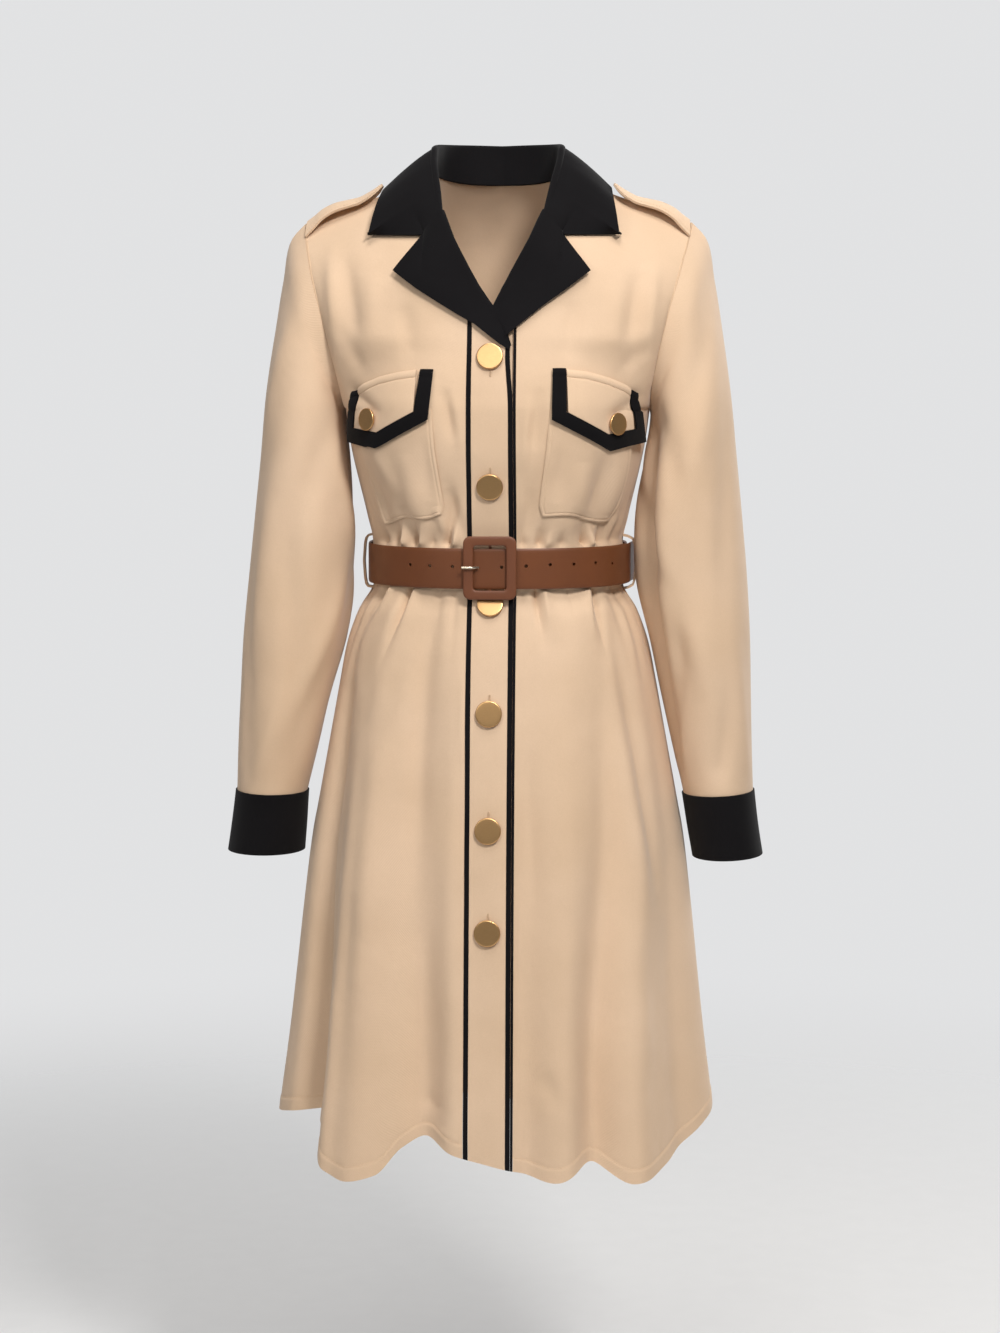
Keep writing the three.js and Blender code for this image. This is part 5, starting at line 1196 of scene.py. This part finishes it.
def addButton(name, node, x, z, out, radius):
    base = layPoint(float(x), float(z), float(out))
    normal = layPoint(float(x), float(z), float(out) + 1) - base
    turn = Vector((0, 0, 1)).rotation_difference(Vector(normal)).to_matrix()
    turn = np.array(turn)
    sides = buttonSet["sides"]
    around = np.arange(sides) / sides * 2 * math.pi
    points, faces = [[0, 0, 0]], []
    profile = buttonSet["profile"][1:-1]
    for r, h in profile:
        for a in around:
            points.append([math.cos(a) * r * radius, math.sin(a) * r * radius, h * buttonSet["high"]])
    points.append([0, 0, buttonSet["profile"][-1][1] * buttonSet["high"]])
    end = len(points) - 1
    for i in range(sides):
        k = (i + 1) % sides
        faces.append((0, 1 + k, 1 + i))
        for row in range(len(profile) - 1):
            p, q = 1 + row * sides, 1 + (row + 1) * sides
            faces.append((p + i, p + k, q + k, q + i))
        faces.append((end, 1 + (len(profile) - 1) * sides + i, 1 + (len(profile) - 1) * sides + k))
    points = np.array(points, float) @ turn.T + base
    piece = makeObject(name, points, faces, paleGold, sharp=60)
    return finishPiece(piece, [node])


holeSet = {"long": 21, "wide": 1.5, "thread": 0.5, "away": 7.5}
for k, (z, out) in enumerate(buttonSet["down"]):
    if k == 2:
        continue  # its buttonhole lies under the belt
    middle = z + (-holeSet["away"] if k == 0 else holeSet["away"])
    a = np.linspace(0, 2 * math.pi, 40, endpoint=False)
    x = 0.6 + np.sign(np.cos(a)) * np.abs(np.cos(a))**0.5 * holeSet["wide"] / 2
    high = middle + np.sign(np.sin(a)) * np.abs(np.sin(a))**0.9 * holeSet["long"] / 2
    ring = tubeAlong(f"buttonhole{k + 1}", layPoint(x, high, np.full(40, 0.25)), holeSet["thread"], seamThread, True, 8)
    rideOnly(ring)
for k, (z, out) in enumerate(buttonSet["down"]):
    addButton(f"button{k + 1}", f"button_{k + 1}", 0, z, out, buttonSet["radius"])
for side, (x, z, out) in buttonSet["flap"].items():
    addButton("flapButton" + side.capitalize(), "flap_button_" + side, x, z, out, buttonSet["flapRadius"])
print("buttons made")

# ---- belt, buckle and loops
beltSet = {
    "z": -378, "high": 38, "thick": 2.2, "steps": 420, "half": 121, "front": 101, "back": 83.5, "square": 2.3,
    "at": [3, 30, 90, 180, 270, 315, 345, 360, 420, 438, 450, 456, 464, 470],
    "out": [4.4, 4.4, 4.4, 4.4, 4.4, 4.4, 7.2, 7.2, 7.2, 7.4, 8.3, 10.4, 16.2, 23],
    "holeRadius": 1.6, "holes": [(-76.3, -375.7), (-56.5, -375.9), (-34.8, -376.0), (10.7, -376.3), (33.2, -375.2), (55.1, -374.2), (76.4, -374.3), (95.9, -373.9), (110.6, -375.8)],
}


def beltPoint(angle, out):
    a = np.radians(angle)
    half = beltSet["half"] + out
    front = np.cos(a) > 0
    depth = np.where(front, beltSet["front"], beltSet["back"]) + out
    s, c = np.sin(a), np.cos(a)
    power = 2 / beltSet["square"]
    return np.sign(s) * half * np.abs(s)**power, -np.sign(c) * depth * np.abs(c)**power


def addBelt():
    angle = np.linspace(3, 470, beltSet["steps"])
    out = smoothCurve(beltSet, "out", angle, "at")
    x, y = beltPoint(angle, out)
    share = np.array([0, 0.02, 0.06, 0.12, 0.3, 0.5, 0.7, 0.88, 0.94, 0.98, 1])
    edge = np.array([0.7, 0.25, 0.05, 0, 0, 0, 0, 0, 0.05, 0.25, 0.7])
    tip = np.clip((angle - 465) / 5, 0, 1)[:, None]
    high = beltSet["high"] * (1 - 0.22 * tip**2)
    z = beltSet["z"] + (0.5 - share)[None] * high
    grid = np.stack([np.broadcast_to(x[:, None], z.shape), np.broadcast_to(y[:, None], z.shape), z], -1)
    normal = gridNormals(grid)
    if (normal[:, 5] * grid[:, 5] * [1, 1, 0]).sum() < 0:
        normal = -normal
    grid = grid - normal * edge[None, :, None]
    piece = clothShell("beltStrap", grid, beltSet["thick"] - 0.2, brownLeather, flip=False)
    return piece


def punchHoles(piece):
    """Round holes through the top layer of the strap, each cut by a short peg that is then thrown away."""
    points, faces = [], []
    for x, z in beltSet["holes"]:
        half = beltSet["half"] + 4.4
        depth = (beltSet["front"] + 4.4) * (1 - abs(x / half)**beltSet["square"])**(1 / beltSet["square"])
        ratio = np.array([x / half**2, -depth / (beltSet["front"] + 4.4)**2])
        out = ratio / np.hypot(*ratio)
        side = np.array([-out[1], out[0]])
        for way, face in ((-3.4, 0), (3.0, 1)):
            for k in range(14):
                a = k / 14 * 2 * math.pi
                reach = math.cos(a) * beltSet["holeRadius"]
                points.append([x + out[0] * way + side[0] * reach, -depth + out[1] * way + side[1] * reach,
                               z + math.sin(a) * beltSet["holeRadius"]])
        n = len(points) - 28
        faces += [(n + k, n + (k + 1) % 14, n + 14 + (k + 1) % 14, n + 14 + k) for k in range(14)]
        faces += [tuple(n + k for k in range(13, -1, -1)), tuple(n + 14 + k for k in range(14))]
    pegs = makeObject("punchPegs", np.array(points), faces, brownLeather, smooth=False)
    cut = piece.modifiers.new("holes", "BOOLEAN")
    cut.operation = "DIFFERENCE"
    cut.solver = "EXACT"
    cut.object = pegs
    around = bpy.context.evaluated_depsgraph_get()
    punched = bpy.data.meshes.new_from_object(piece.evaluated_get(around), depsgraph=around)
    piece.modifiers.clear()
    piece.data = punched
    bpy.data.objects.remove(pegs)


belt = addBelt()
punchHoles(belt)
finishPiece(belt, ["belt_strap"])

buckleSet = {"wide": 50, "high": 59.5, "corner": 7, "holeWide": 31, "holeHigh": 42, "face": -112.6, "z": -377,
             "deep": 3.6}


def roundedPath(wide, high, corner, steps=10):
    points = []
    for sx, sz, start in ((1, 1, 0), (-1, 1, 90), (-1, -1, 180), (1, -1, 270)):
        for k in range(steps + 1):
            a = math.radians(start + 90 * k / steps)
            points.append((sx * (wide / 2 - corner) + math.cos(a) * corner,
                           sz * (high / 2 - corner) + math.sin(a) * corner))
    return np.array(points)


def addBuckle():
    outer = roundedPath(buckleSet["wide"], buckleSet["high"], buckleSet["corner"])
    inner = roundedPath(buckleSet["holeWide"], buckleSet["holeHigh"], 3.5)
    rows = []
    round_ = np.linspace(0, 2 * math.pi, 24, endpoint=False)
    for a in round_:
        across = 0.5 + 0.5 * np.sign(math.cos(a)) * abs(math.cos(a))**0.55
        rise = 0.5 + 0.5 * np.sign(math.sin(a)) * abs(math.sin(a))**0.6
        flatPoint = blend(outer, inner, across)
        y = buckleSet["face"] + buckleSet["deep"] * (1 - rise)
        rows.append(np.stack([flatPoint[:, 0], np.full(len(flatPoint), y), flatPoint[:, 1] + buckleSet["z"]], -1))
    grid = np.array(rows)
    count, cols = grid.shape[:2]
    faces = []
    for i in range(count):
        for j in range(cols):
            a, b = i * cols + j, i * cols + (j + 1) % cols
            c, d = ((i + 1) % count) * cols + (j + 1) % cols, ((i + 1) % count) * cols + j
            faces.append((a, b, c, d))
    points = grid.reshape(-1, 3)
    p = points[np.array(faces)]
    volume = np.einsum("ij,ij->i", p[:, 0], np.cross(p[:, 1], p[:, 2])).sum()
    if volume < 0:
        faces = [f[::-1] for f in faces]
    points = points.tolist()
    for low, high in (((-1.3, -105.8, -398.5), (1.3, -104.4, -355.5)), ((-1.3, -110.4, -357), (1.3, -104.4, -354.6)),
                      ((-1.3, -110.4, -399.4), (1.3, -104.4, -397))):
        n = len(points)
        for k in range(8):
            points.append([(low, high)[k & 1][0], (low, high)[k >> 1 & 1][1], (low, high)[k >> 2 & 1][2]])
        faces += [tuple(n + q for q in f) for f in
                  ((0, 2, 3, 1), (4, 5, 7, 6), (0, 1, 5, 4), (2, 6, 7, 3), (0, 4, 6, 2), (1, 3, 7, 5))]
    piece = makeObject("buckleFrame", np.array(points), faces, buckleLeather, sharp=70)
    return finishPiece(piece, ["buckle_frame"])


addBuckle()


def addRod(name, node, path, radius, material, sides=16):
    path = np.array(path, float)
    fine = np.stack([np.interp(np.linspace(0, len(path) - 1, 40), np.arange(len(path)), path[:, k])
                     for k in range(3)], 1)
    fine[1:-1] = (fine[:-2] + fine[1:-1] * 2 + fine[2:]) / 4
    along = np.gradient(fine, axis=0)
    along /= np.linalg.norm(along, axis=1, keepdims=True)
    side = np.cross([0, 0, 1.0], along)
    side /= np.linalg.norm(side, axis=1, keepdims=True)
    up = np.cross(along, side)
    a = np.arange(sides) / sides * 2 * math.pi
    grid = fine[:, None] + (side[:, None] * np.cos(a)[None, :, None] + up[:, None] * np.sin(a)[None, :, None]) * radius
    points = grid.reshape(-1, 3)
    faces = [(i * sides + j, i * sides + (j + 1) % sides, (i + 1) * sides + (j + 1) % sides, (i + 1) * sides + j)
             for i in range(len(fine) - 1) for j in range(sides)]
    faces += [tuple(range(sides))[::-1], tuple(range(len(points) - sides, len(points)))]
    p = points[np.array(faces[:-2])]
    if np.einsum("ij,ij->i", p[:, 0], np.cross(p[:, 1], p[:, 2])).sum() < 0:
        faces = [f[::-1] for f in faces]
    piece = makeObject(name, points, faces, material)
    return finishPiece(piece, [node])


addRod("bucklePin", "buckle_prong", [(-10.8, -110.2, -376.5), (-13.8, -113.2, -376.5), (-16.6, -115, -376.5),
                                     (-26, -115, -376.5)], 1.25, prongMetal)

loopSet = {"reach": {"right": 6.4, "left": 9.7}, "thick": 2.1, "wide": 8}
for side, sign in (("right", -1), ("left", 1)):
    reach = loopSet["reach"][side]
    line = np.array([(-353.2, -2), (-354.2, 3), (-356.6, reach * 0.8), (-361, reach * 0.96), (-378, reach + 0.9),
                     (-395, reach * 0.96), (-399.6, reach * 0.8), (-402, 3), (-403, -3)])
    at = np.linspace(0, len(line) - 1, 50)
    z = np.interp(at, np.arange(len(line)), line[:, 0])
    out = np.interp(at, np.arange(len(line)), line[:, 1])
    x = smoothCurve(dressBody, "half", z) + out + 0.7
    across = np.linspace(-loopSet["wide"] / 2, loopSet["wide"] / 2, 7)
    grid = np.stack([np.broadcast_to((sign * (x + 0.6))[:, None], (50, 7)), np.broadcast_to(across[None], (50, 7)),
                     np.broadcast_to(z[:, None], (50, 7))], -1)
    piece = clothShell("beltLoop" + side.capitalize(), grid, loopSet["thick"], tanTwill, flip=sign < 0)
    finishPiece(piece, ["belt_loop_" + side])
print("belt, buckle and loops made")

# ---- shoulder tabs
tabRows = {"x": [112.5, 117, 125, 135, 146, 157, 170, 178, 185], "z": [-13, -16, -21, -26, -28.5, -31, -37, -43.5, -48.7],
           "half": [6, 14, 17.4, 18, 18.5, 19, 19.6, 20, 20], "drop": [7, 7, 7.5, 8, 8.5, 9.5, 11.5, 13.5, 15.5]}
for side, sign in (("right", -1), ("left", 1)):
    x = np.linspace(112.5, 185, 60)
    share = np.linspace(-1, 1, 33)
    half = smoothCurve(tabRows, "half", x, "x")[:, None]
    y = share[None] * half
    z = smoothCurve(tabRows, "z", x, "x")[:, None] - smoothCurve(tabRows, "drop", x, "x")[:, None] * np.abs(y / 20)**1.5
    grid = np.stack([np.broadcast_to((sign * x)[:, None], y.shape), y, z], -1)[::-1]
    piece = clothShell("shoulderTab" + side.capitalize(), grid, 2.2, tanTwill, flip=sign < 0)
    finishPiece(piece, ["epaulette_" + side])
    line = np.concatenate([grid[:-2, 3], grid[-3, 4:-4], grid[:-2, -4][::-1]])
    sewLines("tabStitches" + side.capitalize(), [line + [0, 0, 0.12]])
print("shoulder tabs made")

# ---- floor, light and camera
studio = {"floorZ": -1.33, "floorWide": 9.0, "fadeFrom": 0.8, "fadeTo": 2.6, "wall": 0.77, "front": 0.19}
around = [math.radians(k * 3.75) for k in range(96)]
floorMesh = bpy.data.meshes.new("floor")
floorMesh.from_pydata([(math.cos(a) * studio["floorWide"] / 2, math.sin(a) * studio["floorWide"] / 2, studio["floorZ"])
                       for a in around], [], [tuple(range(96))])
floor = bpy.data.objects.new("floor", floorMesh)
bpy.context.scene.collection.objects.link(floor)
floorPaint, floorTree, floorShader = newMaterial("floorPaint")
link = floorTree.links.new
floorShader.inputs["Roughness"].default_value = 0.9
floorShader.inputs["Emission Color"].default_value = (0.9, 0.9, 0.9, 1)
floorShader.inputs["Emission Strength"].default_value = 0.06
floorShader.inputs["Specular IOR Level"].default_value = 0.0
floorPlace = addNode(floorTree, "ShaderNodeTexCoord")
floorFlat = addNode(floorTree, "ShaderNodeVectorMath", {1: (1, 1, 0)}, operation="MULTIPLY")
link(floorPlace.outputs["Object"], floorFlat.inputs[0])
floorFar = addNode(floorTree, "ShaderNodeVectorMath", operation="LENGTH")
link(floorFlat.outputs[0], floorFar.inputs[0])
floorFade = addNode(floorTree, "ShaderNodeMapRange", {"From Min": studio["fadeFrom"], "From Max": studio["fadeTo"]},
                    interpolation_type="SMOOTHSTEP")
link(floorFar.outputs["Value"], floorFade.inputs["Value"])
floorSpeck = addNode(floorTree, "ShaderNodeTexNoise", {"Scale": 30, "Detail": 4.0})
link(floorPlace.outputs["Object"], floorSpeck.inputs["Vector"])
floorTint = addNode(floorTree, "ShaderNodeMix", {6: (0.70, 0.70, 0.70, 1), 7: (0.67, 0.67, 0.67, 1)}, data_type="RGBA")
link(floorSpeck.outputs[0], floorTint.inputs[0])
link(floorTint.outputs[2], floorShader.inputs["Base Color"])
floorClear = addNode(floorTree, "ShaderNodeBsdfTransparent")
floorMix = addNode(floorTree, "ShaderNodeMixShader")
link(floorFade.outputs[0], floorMix.inputs[0])
link(floorShader.outputs[0], floorMix.inputs[1])
link(floorClear.outputs[0], floorMix.inputs[2])
floorOut = [node for node in floorTree.nodes if node.bl_idname == "ShaderNodeOutputMaterial"][0]
link(floorMix.outputs[0], floorOut.inputs["Surface"])
floorMesh.materials.append(floorPaint)
floor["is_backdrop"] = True

# a pale wall behind, dimmer in front, so that the folds get a light and a shaded side
world = bpy.data.worlds.new("studioWorld")
bpy.context.scene.world = world
world.use_nodes = True
worldTree = world.node_tree
worldPlace = addNode(worldTree, "ShaderNodeTexCoord")
worldSplit = addNode(worldTree, "ShaderNodeSeparateXYZ")
worldTree.links.new(worldPlace.outputs["Generated"], worldSplit.inputs[0])
worldFade = addNode(worldTree, "ShaderNodeMapRange", {"From Min": 0.1, "From Max": 0.8, "To Min": studio["front"],
                                                      "To Max": studio["wall"]}, interpolation_type="SMOOTHSTEP")
worldTree.links.new(worldSplit.outputs["Y"], worldFade.inputs["Value"])
worldTree.links.new(worldFade.outputs[0], worldTree.nodes["Background"].inputs["Strength"])
worldTree.nodes["Background"].inputs["Color"].default_value = (0.985, 0.99, 1.0, 1)
bpy.context.scene.view_settings.view_transform = "Standard"

softLights = [
    {"name": "keySoft", "at": (0.95, -2.15, 1.5), "aim": (0, 0, -0.45), "size": 0.5, "power": 63},
    {"name": "fillSoft", "at": (-1.4, -2.4, 0.8), "aim": (0, 0, -0.4), "size": 0.9, "power": 15},
    {"name": "topSoft", "at": (0.1, -0.9, 2.0), "aim": (0, 0, -0.3), "size": 1.0, "power": 27},
    {"name": "gleamSoft", "at": (-0.2, -2.65, 0.74), "aim": (0, -0.1, -0.2), "size": 0.45, "power": 5.5},
    {"name": "backSoft", "at": (1.7, 2.0, 0.9), "aim": (0, 0, -0.4), "size": 0.9, "power": 34},
]
for lamp in softLights:
    data = bpy.data.lights.new(lamp["name"], "AREA")
    data.size = lamp["size"]
    data.energy = lamp["power"]
    data.color = (1.0, 0.985, 0.965)
    made = bpy.data.objects.new(lamp["name"], data)
    made.location = lamp["at"]
    made.rotation_euler = (Vector(lamp["aim"]) - Vector(lamp["at"])).to_track_quat("-Z", "Y").to_euler()
    bpy.context.scene.collection.objects.link(made)

view = {"distance": 2.8, "turn": 4, "height": -0.176, "tilt": 3.58, "focalPixels": 2888, "centreX": 498,
        "imageWide": 1000, "imageHigh": 1333, "shift": 0.1}
cameraData = bpy.data.cameras.new("viewCamera")
cameraData.sensor_fit = "VERTICAL"
cameraData.sensor_height = 36
cameraData.sensor_width = 36
cameraData.lens = 36 * view["focalPixels"] / view["imageHigh"]
cameraData.shift_y = -view["shift"]
cameraData.shift_x = (view["imageWide"] / 2 - view["centreX"]) / view["imageHigh"]
camera = bpy.data.objects.new("viewCamera", cameraData)
turn = math.radians(view["turn"])
camera.location = (math.sin(turn) * view["distance"], -math.cos(turn) * view["distance"], view["height"])
camera.rotation_euler = (math.radians(90 - view["tilt"]), 0, turn)
bpy.context.scene.collection.objects.link(camera)
bpy.context.scene.camera = camera
print("studio made")

low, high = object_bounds()
